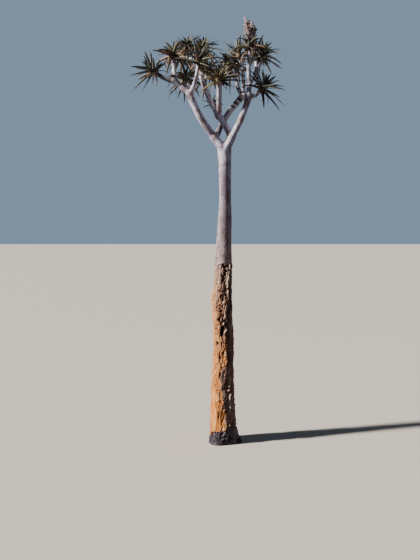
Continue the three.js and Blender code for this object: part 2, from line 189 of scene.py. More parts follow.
# %% Finishes
class Finish:
    """A material with one Principled shader, whose sockets take values or patterns."""

    def __init__(self, name, **sockets):
        self.material = bpy.data.materials.new(name)
        self.material.use_nodes = True
        self.tree = self.material.node_tree
        self.shader = self.tree.nodes["Principled BSDF"]
        self.place = self.node("ShaderNodeTexCoord", {}, {}, "Object")
        self.set(self.shader, {key.replace("_", " "): value for key, value in sockets.items()})

    def set(self, node, values):
        for key, value in values.items():
            socket = node.inputs[key]
            if isinstance(value, Socket):
                self.tree.links.new(value.output, socket)
            elif socket.type == "RGBA":
                socket.default_value = (*linear(value), 1)
            else:
                socket.default_value = value

    def node(self, kind, settings, values, output=0):
        node = self.tree.nodes.new(kind)
        for key, value in settings.items():
            if key == "stops":
                self.stops(node.color_ramp, value)
            else:
                setattr(node, key, value)
        self.set(node, values)
        return Socket(self, node.outputs[output])

    def stops(self, ramp, stops):
        while len(ramp.elements) < len(stops):
            ramp.elements.new(1)
        for element, (at, *colour) in zip(ramp.elements, stops):
            element.position = at
            element.color = (*linear(colour), 1)

    def height(self, low, high):
        """0 at a height low in metres, 1 at high."""
        return self.node("ShaderNodeSeparateXYZ", {}, {"Vector": self.place}, "Z").step(low, high)

    def noise(self, scale, detail, along=1):
        """Noise on the piece, in bumps that are longer upwards where along is below 1."""
        place = self.place
        if along != 1:
            place = self.node("ShaderNodeMapping", {}, {"Vector": place, "Scale": (1, 1, along)})
        values = {"Vector": place, "Scale": scale, "Detail": detail, "Roughness": 0.55}
        return self.node("ShaderNodeTexNoise", {}, values)

    def attribute(self, name):
        return self.node("ShaderNodeAttribute", {"attribute_name": name}, {}, "Fac")

    def ramp(self, value, *stops):
        """A colour for each value, from stops of (value, red, green, blue)."""
        return self.node("ShaderNodeValToRGB", {"stops": stops}, {0: value})

    def painted(self, colour, *coats):
        """A colour under coats of (share, colour), each of which hides its share of what is below."""
        for share, coat in coats:
            colour = self.node("ShaderNodeMix", {"data_type": "RGBA"}, {0: share, 6: colour, 7: coat}, 2)
        return colour

    def dress(self, colour, roughness, height, metres, strength):
        """Feeds the shader its colour, its roughness and a bump of so many metres."""
        values = {"Height": height, "Distance": metres, "Strength": strength}
        bump = self.node("ShaderNodeBump", {}, values)
        self.set(self.shader, {"Base Color": colour, "Roughness": roughness, "Normal": bump})
        return self

# %% [markdown]
# ## The floor
# A plain pale floor carries the tree's shadow. It isn't part of the tree, and it throws no
# light back up, because the real ground is dark.

# %% Floor
FLOOR_REACH = 180
floor_mesh = bpy.data.meshes.new("floor")
corners = [(FLOOR_REACH * x, FLOOR_REACH * y, 0) for x, y in ((-1, -1), (1, -1), (1, 1), (-1, 1))]
floor_mesh.from_pydata(corners, [], [(0, 1, 2, 3)])
floor = show("floor", floor_mesh)
floor.visible_diffuse = False
floor_mesh.materials.append(Finish("floor_paint", Base_Color=(205, 200, 192), Roughness=0.9).material)
print("floor reaches", FLOOR_REACH, "m")

# %% [markdown]
# ## Closed surfaces from grids
# Nearly everything on a tree is a tube that swells and tapers. Each is a grid of points, rings
# along its length by steps around it. `closed_tube` joins the rings and caps both ends, and
# `bundle` gathers many such tubes into one mesh.

# %% Grids
def turns(count):
    """Evenly spaced bearings, once round."""
    return np.linspace(0, 2 * math.pi, count, endpoint=False)


def circle(side, other, turn):
    """Directions round an axis: cos(turn) of one that is square to it, less sin(turn) of the
    other."""
    return side[..., None, :] * np.cos(turn)[..., None] - other[..., None, :] * np.sin(turn)[..., None]


def closed_tube(rings):
    """Points and faces of a tube. Ring i, step j is point i*n + j, and the last two points are the
    middles of the end rings, which close the ends."""
    count, around = rings.shape[:2]
    points = np.concatenate([rings.reshape(-1, 3), [rings[0].mean(0)], [rings[-1].mean(0)]])
    step = np.arange(around)
    after = (step + 1) % around
    ring = np.arange(count - 1)[:, None] * around
    here, beside = ring + step, ring + after
    sides = np.stack([here, beside, beside + around, here + around], -1).reshape(-1, 4)
    top, foot_middle = (count - 1) * around, np.full(around, count * around)
    foot_cap = np.stack([after, step, foot_middle], -1)
    head_cap = np.stack([top + step, top + after, foot_middle + 1], -1)
    return points, sides, np.concatenate([foot_cap, head_cap])

# %% Meshes and pieces
def mesh_of(name, points, quads, triangles, slots=None, values=None):
    """A mesh from arrays, in metres, with each face's material slot and its points' attributes."""
    mesh = bpy.data.meshes.new(name)
    mesh.from_pydata(points * MM, [], quads.tolist() + triangles.tolist())
    mesh.shade_smooth()
    if slots is not None:
        mesh.polygons.foreach_set("material_index", slots.astype(np.int32))
    for key, value in (values or {}).items():
        mesh.attributes.new(key, "FLOAT", "POINT").data.foreach_set("value", value.astype(np.float32))
    return mesh


def add_piece(name, mesh, finishes, nodes):
    """Shows a mesh as a piece that stands for some of the solids and rides with the tree."""
    piece = show(name, mesh)
    for finish in finishes:
        mesh.materials.append(finish.material)
    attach(piece, "root")
    if nodes:
        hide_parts(*nodes)
    print(name, "has", sum(len(p.vertices) - 2 for p in mesh.polygons), "triangles")


def bundle(name, tubes):
    """One mesh of closed tubes, each given as its rings and its material slot, which is a number or a
    table with a row for each step along the tube."""
    parts, count = [], 0
    for rings, slot in tubes:
        points, quads, triangles = closed_tube(rings)
        slots = np.broadcast_to(slot, (len(rings) - 1, rings.shape[1]))
        parts.append((points, quads + count, triangles + count, slots.ravel(), slots[[0, -1]].ravel()))
        count += len(points)
    points, quads, triangles, sides, ends = map(np.concatenate, zip(*parts))
    return mesh_of(name, points, quads, triangles, np.concatenate([sides, ends]))

# %% [markdown]
# ## Random numbers that mean a place
# Bark is uneven in a way that has size but no pattern. Gradient noise gives that: every corner of a
# unit grid gets a random slope, and the slopes are blended between the corners. Stretching the
# places stretches the bumps.

# %% Gradient noise
SLOPES = np.random.default_rng(7).normal(size=(256, 3))
SLOPES /= np.linalg.norm(SLOPES, axis=1)[:, None]


def smooth(x, low=0.0, high=1.0):
    """0 below low, 1 above high, and the S-curve 3t^2 - 2t^3 between."""
    t = np.clip((x - low) / (high - low), 0, 1)
    return t * t * (3 - 2 * t)


def fade(x, low, high):
    """1 below low, 0 above high, and the S-curve between."""
    return 1 - smooth(x, low, high)


def mix(first, second, share):
    """The first, plus this share of the way to the second."""
    return first + (second - first) * share


def noise(places, seed=0):
    """Gradient noise from about -1 to 1: for each of the 8 corners of a place's cell, the corner's
    slope times the way to it, blended by 6t^5 - 15t^4 + 10t^3 along each axis."""
    cell = np.floor(places).astype(np.int64)
    inside = places - cell
    blend = inside**3 * (inside * (inside * 6 - 15) + 10)
    total = np.zeros(places.shape[:-1])
    for corner in product((0, 1), repeat=3):
        at = cell + corner
        key = at[..., 0] * 73856093 ^ at[..., 1] * 19349663 ^ at[..., 2] * 83492791 ^ seed * 2654435
        slope = SLOPES[(key ^ (key >> 11)) & 255]
        share = np.prod(np.where(corner, blend, 1 - blend), axis=-1)
        total += share * ((inside - corner) * slope).sum(-1)
    return 1.6 * total


def rough(places, seed=0, octaves=3):
    """Noise plus finer copies of it, each half the size and half the strength."""
    return sum(noise(places * 2**k, seed + k) / 2**k for k in range(octaves))

# %% [markdown]
# ## The trunk's own numbers
# The trunk tapers, wanders a little and spreads into a root flare. These runs of numbers also shape
# the solid trunk, so the bark lands where the solid is.

# %% Trunk profile
FORK = np.array([25.0, 0.0, 3485.0])
TRUNK_RADII = np.array([
    (0, 150), (250, 146), (660, 134), (1140, 117), (1550, 115), (2030, 101),
    (2520, 85), (2860, 70), (3100, 71), (3270, 76), (3440, 83), (3485, 86),
])
TRUNK_WANDER = np.array([(0, 0), (600, 0), (1140, 10), (1600, -6), (2200, 14), (2850, 33), (3485, 25)])
FLARES = ((0, 80), (125, 26), (235, 34))
FLARE_FADE = 100


def smooth_run(rows, x):
    """The value at x of rows of (x, value), with an S-curve from each row to the next."""
    i = np.clip(np.searchsorted(rows[:, 0], x, side="right") - 1, 0, len(rows) - 2)
    share = smooth((x - rows[i, 0]) / (rows[i + 1, 0] - rows[i, 0]))
    return rows[i, 1] + (rows[i + 1, 1] - rows[i, 1]) * share


def trunk_radius(height, bearing):
    """The run of radii, plus each flare's reach times cos^3 of the turn from it, fading with
    height."""
    radius = smooth_run(TRUNK_RADII, height)
    for at, reach in FLARES:
        facing = np.maximum(np.cos(bearing - math.radians(at)), 0)
        radius = radius + reach * facing**3 * np.exp(-height / FLARE_FADE)
    return radius


def trunk_place(height, bearing, reach):
    """The point at this distance from the trunk's wandering middle."""
    middle = smooth_run(TRUNK_WANDER, height)
    return np.stack([middle + reach * np.cos(bearing), reach * np.sin(bearing), height + 0 * reach], -1)


print("trunk radius at knee height:", round(float(trunk_radius(500, math.pi)), 1))

# %% [markdown]
# ## Where the bark has come away
# The outer bark is smooth, thin and pale. Low on an old trunk it drops off and leaves a deep,
# layered, golden bark. Both surfaces read the ragged edge between them, `peel_edge`: the worn bark
# runs on a little above it, tucked inside, and the outer bark ends there in a thick lip.

# %% Peel edge
BARK_RADIUS = 115
PEEL_HEIGHT = 2095
PEEL_RAGGED, PEEL_TEETH = 42, 12
TONGUE_BEARING, TONGUE_DROP = math.radians(-38), 70
BACK_BEARING, BACK_RISE = math.radians(95), 55
OUTER_BARK = 9


def bearing_gap(bearing, at):
    """The turn from one bearing to another, from -pi to pi."""
    return (bearing - at + math.pi) % (2 * math.pi) - math.pi


def bark_noise(bearing, height, size, seed, octaves=1, bend=0):
    """Noise on a cylinder as thick as the trunk, in bumps of a size (across, upwards)."""
    x, y = BARK_RADIUS * np.cos(bearing) / size[0], BARK_RADIUS * np.sin(bearing) / size[0]
    places = np.stack(np.broadcast_arrays(x, y, height / size[1]), -1)
    return rough(places + bend, seed, octaves)


def peel_edge(bearing):
    """The mean height, plus waves and small teeth of noise, less one long tongue on the right where
    the outer bark has held on. Behind, the edge is higher."""
    waves = PEEL_RAGGED * bark_noise(bearing, 0, (60, 1), 21, 3)
    teeth = PEEL_TEETH * bark_noise(bearing, 0, (9, 1), 25)
    tongue = smooth(np.cos(bearing_gap(bearing, TONGUE_BEARING)), 0.985, 1)
    behind = smooth(np.cos(bearing_gap(bearing, BACK_BEARING)), 0.2, 1)
    return PEEL_HEIGHT + waves + teeth - TONGUE_DROP * tongue + BACK_RISE * behind


edge = peel_edge(turns(72))
print("the outer bark stops at", edge.min().round(), "to", edge.max().round())

# %% [markdown]
# ## The worn trunk's relief
# The worn surface is one grid round the trunk. Its relief is a sum of simple parts: swellings,
# layers that end in small steps, clefts, and the holes and raised strips that this tree really has.
# A cleft is where stretched noise crosses zero, which gives long thin lines that wander and join.

# %% Table of holes, strips and the dark side
# In each row: how far right of the upright line through the foot, as seen from the front, and the
# height of its middle, half width, half height, lean to the right in degrees, and depth
HOLES = [
    (25, 2080, 44, 36, 0, 24), (48, 2118, 10, 13, 0, 34), (56, 2072, 10, 13, 0, 36),
    (30, 1996, 13, 50, 26, 24), (4, 1916, 13, 44, 48, 26), (-16, 2045, 7, 20, 35, 16),
    (-28, 1790, 11, 31, 14, 24), (-20, 1724, 12, 24, 0, 20), (-2, 1683, 11, 25, -8, 20),
    (-71, 1677, 6, 16, 0, 9), (-27, 1621, 10, 12, 0, 18), (2, 1596, 12, 11, 0, 16),
    (-22, 1550, 40, 21, -14, 12), (36, 1810, 8, 40, 8, 26), (42, 1740, 8, 20, 8, 22),
    (39, 1695, 8, 18, 6, 22), (-16, 1446, 38, 55, -6, 22), (-47, 1454, 11, 20, 10, 38),
    (11, 1487, 11, 16, 0, 38), (0, 1425, 12, 17, 0, 40), (-20, 1394, 13, 14, 0, 36),
    (-4, 1312, 28, 74, 4, 40), (23, 1204, 7, 9, 30, 14), (37, 1184, 7, 9, 30, 14),
    (50, 1166, 7, 9, 30, 14), (-62, 1163, 16, 33, 0, 30), (-8, 1146, 9, 68, 2, 12),
    (-37, 1018, 9, 58, 0, 24), (-36, 1005, 13, 14, 0, 28), (-18, 926, 7, 24, 0, 18),
    (11, 1051, 7, 11, 0, 16), (-87, 793, 17, 6, 0, 12), (-28, 815, 13, 26, 8, 14),
    (-43, 436, 9, 20, 0, 8), (-47, 330, 8, 46, 2, 4), (-4, 370, 8, 22, -8, 6),
    (-5, 244, 6, 24, 22, 20), (-11, 179, 8, 12, 0, 20), (100, 604, 9, 18, 20, 18),
    (108, 390, 9, 16, 0, 18), (62, 612, 7, 15, 0, 18), (28, 1880, 12, 26, 20, 12),
]
# The same for the wide shallow troughs in which the holes lie and the bark is dark
TROUGHS = [
    (14, 2020, 38, 110, 8, 7), (8, 1770, 42, 150, 4, 7), (0, 1520, 44, 120, 0, 8),
    (2, 1300, 40, 110, 0, 8), (-30, 1000, 20, 110, 4, 6), (-24, 820, 22, 90, 8, 5),
    (-40, 360, 16, 110, 4, 2), (84, 1800, 22, 150, 0, 6), (-31, 580, 12, 88, 0, 2), (40, 1930, 14, 80, 0, 5),
]
# The same for the strips, lumps and flakes that stand proud, and how pale each is
STRIPS = [
    (61, 2126, 6, 30, -30, 18, 1), (75, 2072, 6, 46, -6, 20, 1), (70, 2000, 6, 44, 16, 20, 1),
    (59, 1930, 6, 44, 14, 20, 1), (54, 1850, 7, 54, 0, 20, 0.9), (60, 1764, 7, 48, -8, 20, 0.9),
    (66, 1700, 7, 34, 0, 16, 0.9), (79, 1906, 15, 46, 0, 8, 0.5), (-62, 1841, 15, 18, 0, 8, 0.6),
    (21, 1650, 20, 19, 0, 12, 0.5), (29, 1528, 8, 36, -8, 9, 0.5), (24, 1470, 8, 36, 24, 9, 0.5),
    (14, 1412, 8, 28, 10, 9, 0.5), (-14, 1452, 12, 24, 12, 16, 0), (36, 1316, 10, 44, 30, 12, 1),
    (36, 1067, 13, 13, 0, 8, 0.5), (34, 1038, 14, 12, 0, 8, 0.5), (-4, 962, 12, 34, 0, 7, 0.2),
    (12, 916, 11, 26, 10, 7, 0.2), (-48, 1130, 7, 44, -28, 6, 0.5), (68, 674, 7, 22, -32, 26, 0.9),
    (64, 634, 7, 20, 32, 24, 0.9), (79, 584, 6, 36, 20, 36, 1), (72, 540, 7, 38, -6, 36, 1),
    (74, 225, 8, 20, 30, 26, 0.8), (94, 266, 8, 26, 0, 10, 0.4), (-86, 838, 15, 34, 0, 5, 0.3),
    (78, 760, 7, 26, 10, 12, 0.4), (78, 430, 7, 26, -5, 26, 0.7), (84, 490, 22, 160, 0, 5, 0.4),
    (38, 1560, 11, 100, 3, 8, 0.5), (70, 940, 6, 30, 6, 10, 0.4), (86, 1090, 7, 26, -8, 10, 0.4),
    (92, 1260, 7, 34, 4, 10, 0.4), (-22, 160, 10, 22, 0, 8, 0.5), (9, 176, 11, 34, 4, 8, 0.5),
    (34, 196, 9, 30, 8, 8, 0.4), (30, 218, 34, 112, 0, 15, 0.1),
]
UNSEEN_HOLES, UNSEEN_STRIPS = 46, 22
HOLE_WAVER, STRIP_WAVER = 0.42, 0.294
# How far right of the same line the dark weathered side begins in front, by height
DARK_SIDE = np.array([
    (0, 60), (170, 62), (278, 30), (340, 26), (444, 2), (510, 0), (560, -12), (720, -20), (820, -30),
    (900, 22), (1000, 52), (1070, 42), (1150, 52), (1200, 42), (1300, 36), (1387, 26), (1445, 40),
    (1500, 44), (1600, 66), (1729, 76), (1875, 82), (2000, 90), (2300, 94),
])
DARK_BACK = math.radians(108)

# %% Holes and strips
def front_bearing(across, height):
    """The bearing in front of a point that lies this far right of the line through the foot."""
    share = (across - smooth_run(TRUNK_WANDER, height)) / smooth_run(TRUNK_RADII, height)
    return -np.arccos(np.clip(share, -0.98, 0.98))


def with_bearings(rows):
    """The same rows, with a bearing in place of the distance to the right."""
    return [(front_bearing(x, z), z, *rest) for x, z, *rest in rows]


def unseen(count, seed, lowest, highest):
    """Rows for the sides that the picture doesn't show, by seeded numbers. lowest and highest are the
    ranges of what follows the lean."""
    draw, rows = np.random.default_rng(seed), []
    for _ in range(count):
        bearing, height = math.radians(draw.uniform(5, 175)), draw.uniform(230, 2080)
        wide = draw.uniform(7, 14) * (1 + 1.4 * (draw.random() > 0.86))
        tall, lean = wide * draw.uniform(1.5, 4), draw.normal(0, 14)
        rows.append((bearing, height, wide, tall, lean, *draw.uniform(lowest, highest)))
    return rows


def reach_of(row, bearing, height, radius, waver):
    """How far out each point is within a leaning ellipse with a wavering edge: 1 is the rim. The
    place is turned by the lean, and each part is divided by the half size."""
    at, middle, wide, tall, lean = row[:5]
    across, up = radius * bearing_gap(bearing, at), height - middle
    turn = math.radians(lean)
    beside = (across * math.cos(turn) - up * math.sin(turn)) / wide
    along = (across * math.sin(turn) + up * math.cos(turn)) / tall
    return np.hypot(beside, along) * waver


def holes_at(bearing, height, radius):
    """How deep the holes and troughs go, and how far inside a hole and a trough each point is. A hole
    is at full depth within half its reach."""
    depth, inside, trough = np.zeros((3, *height.shape))
    waver = 1 + HOLE_WAVER * bark_noise(bearing, height, (15, 22), 31, 3)
    for row in with_bearings(HOLES) + unseen(UNSEEN_HOLES, 5, (12,), (30,)):
        reach = reach_of(row, bearing, height, radius, waver)
        depth = np.maximum(depth, row[5] * fade(reach, 0.45, 1.05))
        inside = np.maximum(inside, (0.45 + row[5] / 60) * fade(reach, 0.65, 1.2))
    for row in with_bearings(TROUGHS):
        bowl = fade(reach_of(row, bearing, height, radius, waver), 0.4, 1.1)
        trough = np.maximum(trough, bowl)
        depth = depth + row[5] * bowl
    return depth, np.minimum(inside, 1), trough


def strips_at(bearing, height, radius):
    """How far the strips stand off, as round-topped ridges, and how pale each point is."""
    rise, pale = np.zeros((2, *height.shape))
    waver = 1 + STRIP_WAVER * bark_noise(bearing, height, (12, 30), 32, 3)
    for row in with_bearings(STRIPS) + unseen(UNSEEN_STRIPS, 6, (5, 0.2), (11, 1)):
        crown = fade(reach_of(row, bearing, height, radius, waver), 0.35, 1.05)
        rise, pale = np.maximum(rise, row[5] * crown), np.maximum(pale, row[6] * crown)
    return rise, pale


print(len(HOLES) + UNSEEN_HOLES, "holes and", len(STRIPS) + UNSEEN_STRIPS, "strips")

# %% [markdown]
# The right side of the trunk kept its old bark: dark, deeply ribbed and a little proud. A rough
# dark collar goes round the very foot. Both are shares from 0 to 1, which shape the relief here and
# choose the colours later.

# %% Dark side and collar
COLLAR_TOP, COLLAR_SLANT, COLLAR_DIP = 164, 30, 55


def clefts(uneven, width):
    """1 along the lines where noise is zero, falling to 0 at this distance from zero."""
    return fade(np.abs(uneven), 0, width)


def folded(uneven):
    """Noise folded at zero, which makes sharp crests."""
    return 1 - 2 * np.abs(uneven)


def dark_share(bearing, height):
    """1 on the dark side, which runs from the line DARK_SIDE to a line behind, and 1 just inside the
    former, where the bark is blackest above knee height."""
    front = front_bearing(smooth_run(DARK_SIDE, height), height)
    turn = bearing_gap(bearing, 0) + 0.12 * bark_noise(bearing, height, (34, 60), 51, 4)
    dark = smooth(turn - front, -0.05, 0.05) * fade(turn - DARK_BACK, -0.06, 0.06)
    return dark, dark * fade(turn - front, 0.15, 0.7) * smooth(height, 380, 540)


def collar_parts(bearing, height):
    """1 on the collar, 1 in the notch above it, which is cut into the relief and darkened by the
    finish as a painted shadow under the golden bark's edge, the collar's own relief, further out on
    the right and with folded lumps, and its cracks."""
    teeth = 16 * bark_noise(bearing, 0, (26, 1), 61, 3)
    edge = COLLAR_TOP + COLLAR_SLANT * np.cos(bearing) + teeth
    edge = edge - COLLAR_DIP * smooth(-np.cos(bearing), 0.7, 1)
    collar = fade(height - edge, -4, 3)
    notch = np.exp(-(((height - edge + 8) / 7) ** 2))
    lumps = folded(bark_noise(bearing, height, (62, 54), 62, 3))
    cracks = clefts(bark_noise(bearing, height, (44, 60), 63), 0.14)
    relief = 1 + 4 * np.cos(bearing) + 10 * lumps - 8 * cracks
    return collar, notch, np.where(collar > 0, relief, 0), cracks

# %% Worn bark surface
WORN_TOP = 2290
WORN_AROUND, WORN_RINGS = 184, 500
SWELL, WAVE, LAYER, GRIT, FOLD, PIT = 2.5, 5, 3.4, 3.6, 3.5, 7
LONG_CLEFT, SHORT_CLEFT, RIB, DARK_RISE, NOTCH = 8, 4.5, 8, 4, 7


def worn_surface():
    """Rings and shares of the worn trunk. Its reach is the trunk's radius, the solid's swell, wide
    noise, layers that end in small steps, clefts, strips and holes."""
    height = np.linspace(0, 1, WORN_RINGS)[:, None] * WORN_TOP
    height, bearing = np.broadcast_arrays(height, turns(WORN_AROUND)[None, :])
    bark = partial(bark_noise, bearing, height)
    radius = trunk_radius(height, bearing)
    swell = np.sin(3 * bearing + height / 170) + np.sin(2 * bearing - height / 260 + 1)

    dark, black = dark_share(bearing, height)
    collar, notch, rock, cracks = collar_parts(bearing, height)
    bend = 0.55 * bark((70, 160), 71)[..., None]
    long_cleft = clefts(bark((34, 210), 72, bend=bend), 0.10)
    short_cleft = clefts(bark((17, 80), 73, bend=2 * bend), 0.12)
    ribs = clefts(bark((13, 60), 74, bend=bend), 0.22)
    patchy = smooth(bark((60, 130), 75), -0.25, 0.35)
    layers = 3.4 * bark((42, 105), 76, 3)
    steps = np.floor(layers) + smooth(layers - np.floor(layers), 0.36, 0.64)
    hole_depth, inside, trough = holes_at(bearing, height, radius)
    rise, pale = strips_at(bearing, height, radius)
    gnawed = smooth(height, 820, 1000) * fade(height, 2080, 2130) * (0.25 + 0.75 * patchy)
    pits = smooth(bark((13, 21), 79, bend=bend), 0.3, 0.55) * gnawed

    relief = SWELL * fade(height, 1880, 2470) * swell + WAVE * bark((80, 150), 77)
    relief += LAYER * steps + GRIT * bark((14, 24), 78, 3) - PIT * pits
    relief += FOLD * folded(bark((30, 46), 80, bend=bend)) * smooth(height, 1350, 1650)
    split = mix(0.3, 1, smooth(height, 480, 950))
    long_depth = LONG_CLEFT * long_cleft * (0.35 + 0.65 * patchy)
    gold_clefts = np.maximum(long_depth, SHORT_CLEFT * short_cleft * patchy) * split
    relief -= np.where(dark > 0.5, RIB * ribs * (0.5 + 0.5 * patchy), gold_clefts)
    relief += DARK_RISE * dark + np.where(rise > 0, rise, -hole_depth)
    relief = mix(relief, rock, collar) - NOTCH * notch
    tucked = smooth(height - peel_edge(bearing), -10, 12)
    relief = (1 - tucked) * (relief - 2) + tucked * (-OUTER_BARK - 12)
    rings = trunk_place(height, bearing, radius + mix(0.35, 1, smooth(height, 0, 22)) * relief)

    lines = 0.7 * np.maximum(long_cleft, short_cleft * patchy) * split * (1 - dark)
    # Crevice shade: how far a point lies in a hole, cleft, rib, pit, crack or the notch under the golden
    # bark's edge. The finish paints it brown, partly the inner bark's own colour and partly painted shade,
    # and near black in the deepest, which is painted shade.
    crevice = np.maximum(inside * (rise <= 0), np.maximum(lines, 0.7 * ribs * dark))
    # The notch joins the crevice shade here, as a painted shadow under the golden bark's edge.
    crevice = np.maximum(mix(np.maximum(crevice, 0.75 * pits), cracks, collar), 0.9 * notch)
    amber = smooth(-np.cos(bearing), 0.86, 0.98) * fade(height, 1750, 1930) * smooth(height, 1150, 1350)
    others = {"pale": pale, "trough": trough, "black": black, "amber": amber}
    shares = {"crevice": crevice * (1 - pale), "dark": dark, "collar": collar}
    return rings, shares | {key: share * (1 - collar) for key, share in others.items()}


rings, shares = worn_surface()
points, quads, triangles = closed_tube(rings)
values = {key: np.concatenate([share.ravel(), share[[0, -1], 0]]) for key, share in shares.items()}
worn_mesh = mesh_of("worn_bark", points, quads, triangles, values=values)
print("worn bark reaches", points.min(0).round(1).tolist(), points.max(0).round(1).tolist())

# %% [markdown]
# ## The worn bark's colours
# The bark's heart is cream high up and turns through gold to orange near the ground, so it is a
# ramp on height. Paler and redder streaks are noise stretched along the trunk. Crevices are brown,
# partly their own colour and partly painted shade, and the deepest go near black as painted shade.
# The weathered side is dark with pale flecks.

# %% Worn bark finish
def worn_finish():
    """Coats of paint over the gold, each where noise or one of the surface's shares says."""
    finish = Finish("worn_bark", Specular_IOR_Level=0.15)
    height, share = finish.height(0, 2.2), finish.attribute
    streak, blotch = finish.noise(26, 5, 0.22), finish.noise(9, 3, 0.22)
    fleck, grain = finish.noise(85, 3, 0.45), finish.noise(160, 3)
    crevice = share("crevice")
    gold = finish.ramp(
        height, (0.0, 216, 136, 62), (0.2, 210, 130, 60), (0.45, 198, 130, 74),
        (0.68, 192, 138, 96), (0.84, 186, 146, 120), (0.95, 176, 146, 132),
    )
    pale = finish.ramp(height, (0.0, 242, 180, 104), (0.5, 230, 176, 120), (0.95, 206, 180, 166))
    rust = finish.ramp(height, (0.0, 164, 102, 62), (0.6, 144, 104, 82), (0.95, 126, 102, 94))
    # Brown in the hollows: partly the inner bark's own colour, partly painted shade.
    hollow = finish.ramp(height, (0.0, 122, 80, 54), (0.8, 106, 82, 78))
    ribbed = finish.ramp(
        streak * 0.8 + grain * 0.2,
        (0.38, 120, 92, 80), (0.5, 160, 129, 115), (0.6, 192, 162, 145), (0.68, 230, 206, 190),
    )
    foot = finish.ramp(
        blotch * 0.5 + fleck * 0.5,
        (0.42, 44, 38, 44), (0.5, 78, 70, 78), (0.56, 122, 112, 116), (0.63, 184, 174, 172),
    )
    colour = finish.painted(
        gold,
        (streak.step(0.5, 0.64), pale),
        ((1 - blotch).step(0.5, 0.66) * 0.8, rust),
        (fleck.step(0.56, 0.68) * 0.5, (112, 72, 50)),
        (share("trough") * (0.3 + streak * 0.6), (126, 102, 98)),
        (share("amber") * 0.8, (222, 152, 74)),
        (share("dark"), finish.painted(ribbed, (share("black") * 0.8, (66, 51, 50)))),
        (crevice.step(0.2, 0.65) * 0.8, hollow),
        (share("collar"), foot),
        (share("pale") * 0.95, (240, 222, 208)),
        # Painted shade: the deepest holes, clefts and the notch under the golden edge go near black.
        (crevice.step(0.6, 0.95) * 0.9, (24, 17, 15)),
    )
    return finish.dress(colour, 0.72 + grain * 0.25, streak * 0.5 + fleck * 0.4 + grain * 0.3, 0.012, 1.0)


add_piece("worn_bark", worn_mesh, [worn_finish()], ["trunk"])

# %% [markdown]
# ## The limbs
# The trunk forks in two, and each limb forks again. A limb is one bent curve from just inside its
# parent to its tip. The solids were made by the same table and rule, so every curve and every leaf
# comes out where the solid has it.

# %% Table of limbs
# Each limb's parent, its radius, its tip as right, back and rise from the trunk's fork, and where
# it isn't straight, how far its middle bows, in the same order
LIMBS = {
    "bough_left": ("trunk", 54, -125, -10, 120),
    "bough_right": ("trunk", 56, 90, -10, 132),
    "bough_left_long": ("bough_left", 43, -405, -130, 600, -30, -28, -10),
    "bough_behind": ("bough_left", 37, 235, 160, 650, -47, 75, 12),
    "bough_middle": ("bough_right", 38, -80, -10, 375, 16, 0, 2),
    "bough_right_long": ("bough_right", 38, 280, -160, 580, 24, -40, -8),
    "branch_left": ("bough_left_long", 36, -590, -130, 755),
    "branch_far_left": ("branch_left", 28, -805, -100, 850, 0, 0, -16),
    "branch_left_high": ("branch_left", 24, -605, -30, 1040, -5, 0, -10),
    "branch_left_inner": ("bough_left_long", 29, -365, -165, 670),
    "branch_left_low": ("branch_left_inner", 22, -463, 150, 816, 0, 0, -30),
    "branch_left_near": ("branch_left_inner", 23, -305, -250, 905, 8, -20, -20),
    "branch_middle": ("bough_middle", 33, -268, -180, 800, -15, 0, -20),
    "branch_middle_high": ("branch_middle", 25, -290, 120, 1040, -18, 0, 0),
    "branch_back": ("branch_middle", 23, -220, 420, 970, 0, 40, -50),
    "branch_top_middle": ("branch_middle_high", 21, -270, 80, 1150),
    "branch_top": ("branch_middle_high", 21, -375, 280, 1165, -10, 20, -25),
    "branch_top_left": ("branch_top", 19, -435, 250, 1225, -10, 0, -5),
    "branch_back_left": ("branch_top", 19, -505, 520, 1240, 0, 20, -35),
    "branch_front": ("bough_middle", 32, -60, -300, 690, 0, 0, -25),
    "branch_sprout": ("branch_middle", 15, -138, 150, 530, 5, 8, -8),
    "branch_inner": ("bough_behind", 26, 140, 220, 845, -10, 0, -10),
    "branch_inner_near": ("branch_inner", 20, 75, 100, 960, -5, -15, -15),
    "branch_back_inner": ("branch_inner", 20, 135, 480, 1090, 0, 30, -35),
    "branch_inner_right": ("bough_behind", 24, 185, 60, 1065, 24, 0, 0),
    "branch_far_right": ("bough_right_long", 26, 415, -180, 625, 5, 20, -14),
    "branch_right": ("bough_right_long", 32, 295, 10, 760),
    "branch_top_right": ("branch_right", 25, 295, -50, 1130, -9, 0, 0),
    "branch_right_high": ("branch_right", 24, 385, 130, 950, 8, 5, -12),
    "branch_right_outer": ("branch_right_high", 20, 430, 70, 1050, 5, -5, -8),
    "branch_back_right": ("branch_right_high", 20, 395, 450, 1205, 0, 25, -35),
}
BROAD = {"bough_right": 0, "bough_middle": 0.35, "bough_right_long": 0.25}
SPROUTS = {"branch_sprout": 0.26}
LIMB_TAPER = 0.93
SHOULDER, SHOULDER_START = 0.16, 0.7
INSET = 0.6

# %% Limbs
def unit(vector):
    """The vector over its own length."""
    return vector / np.linalg.norm(vector, axis=-1, keepdims=True)


def square_to(run):
    """Two directions square to a run, the first of them also square to the line of sight."""
    side = unit(np.cross(BACK, run))
    return side, unit(np.cross(side, run))


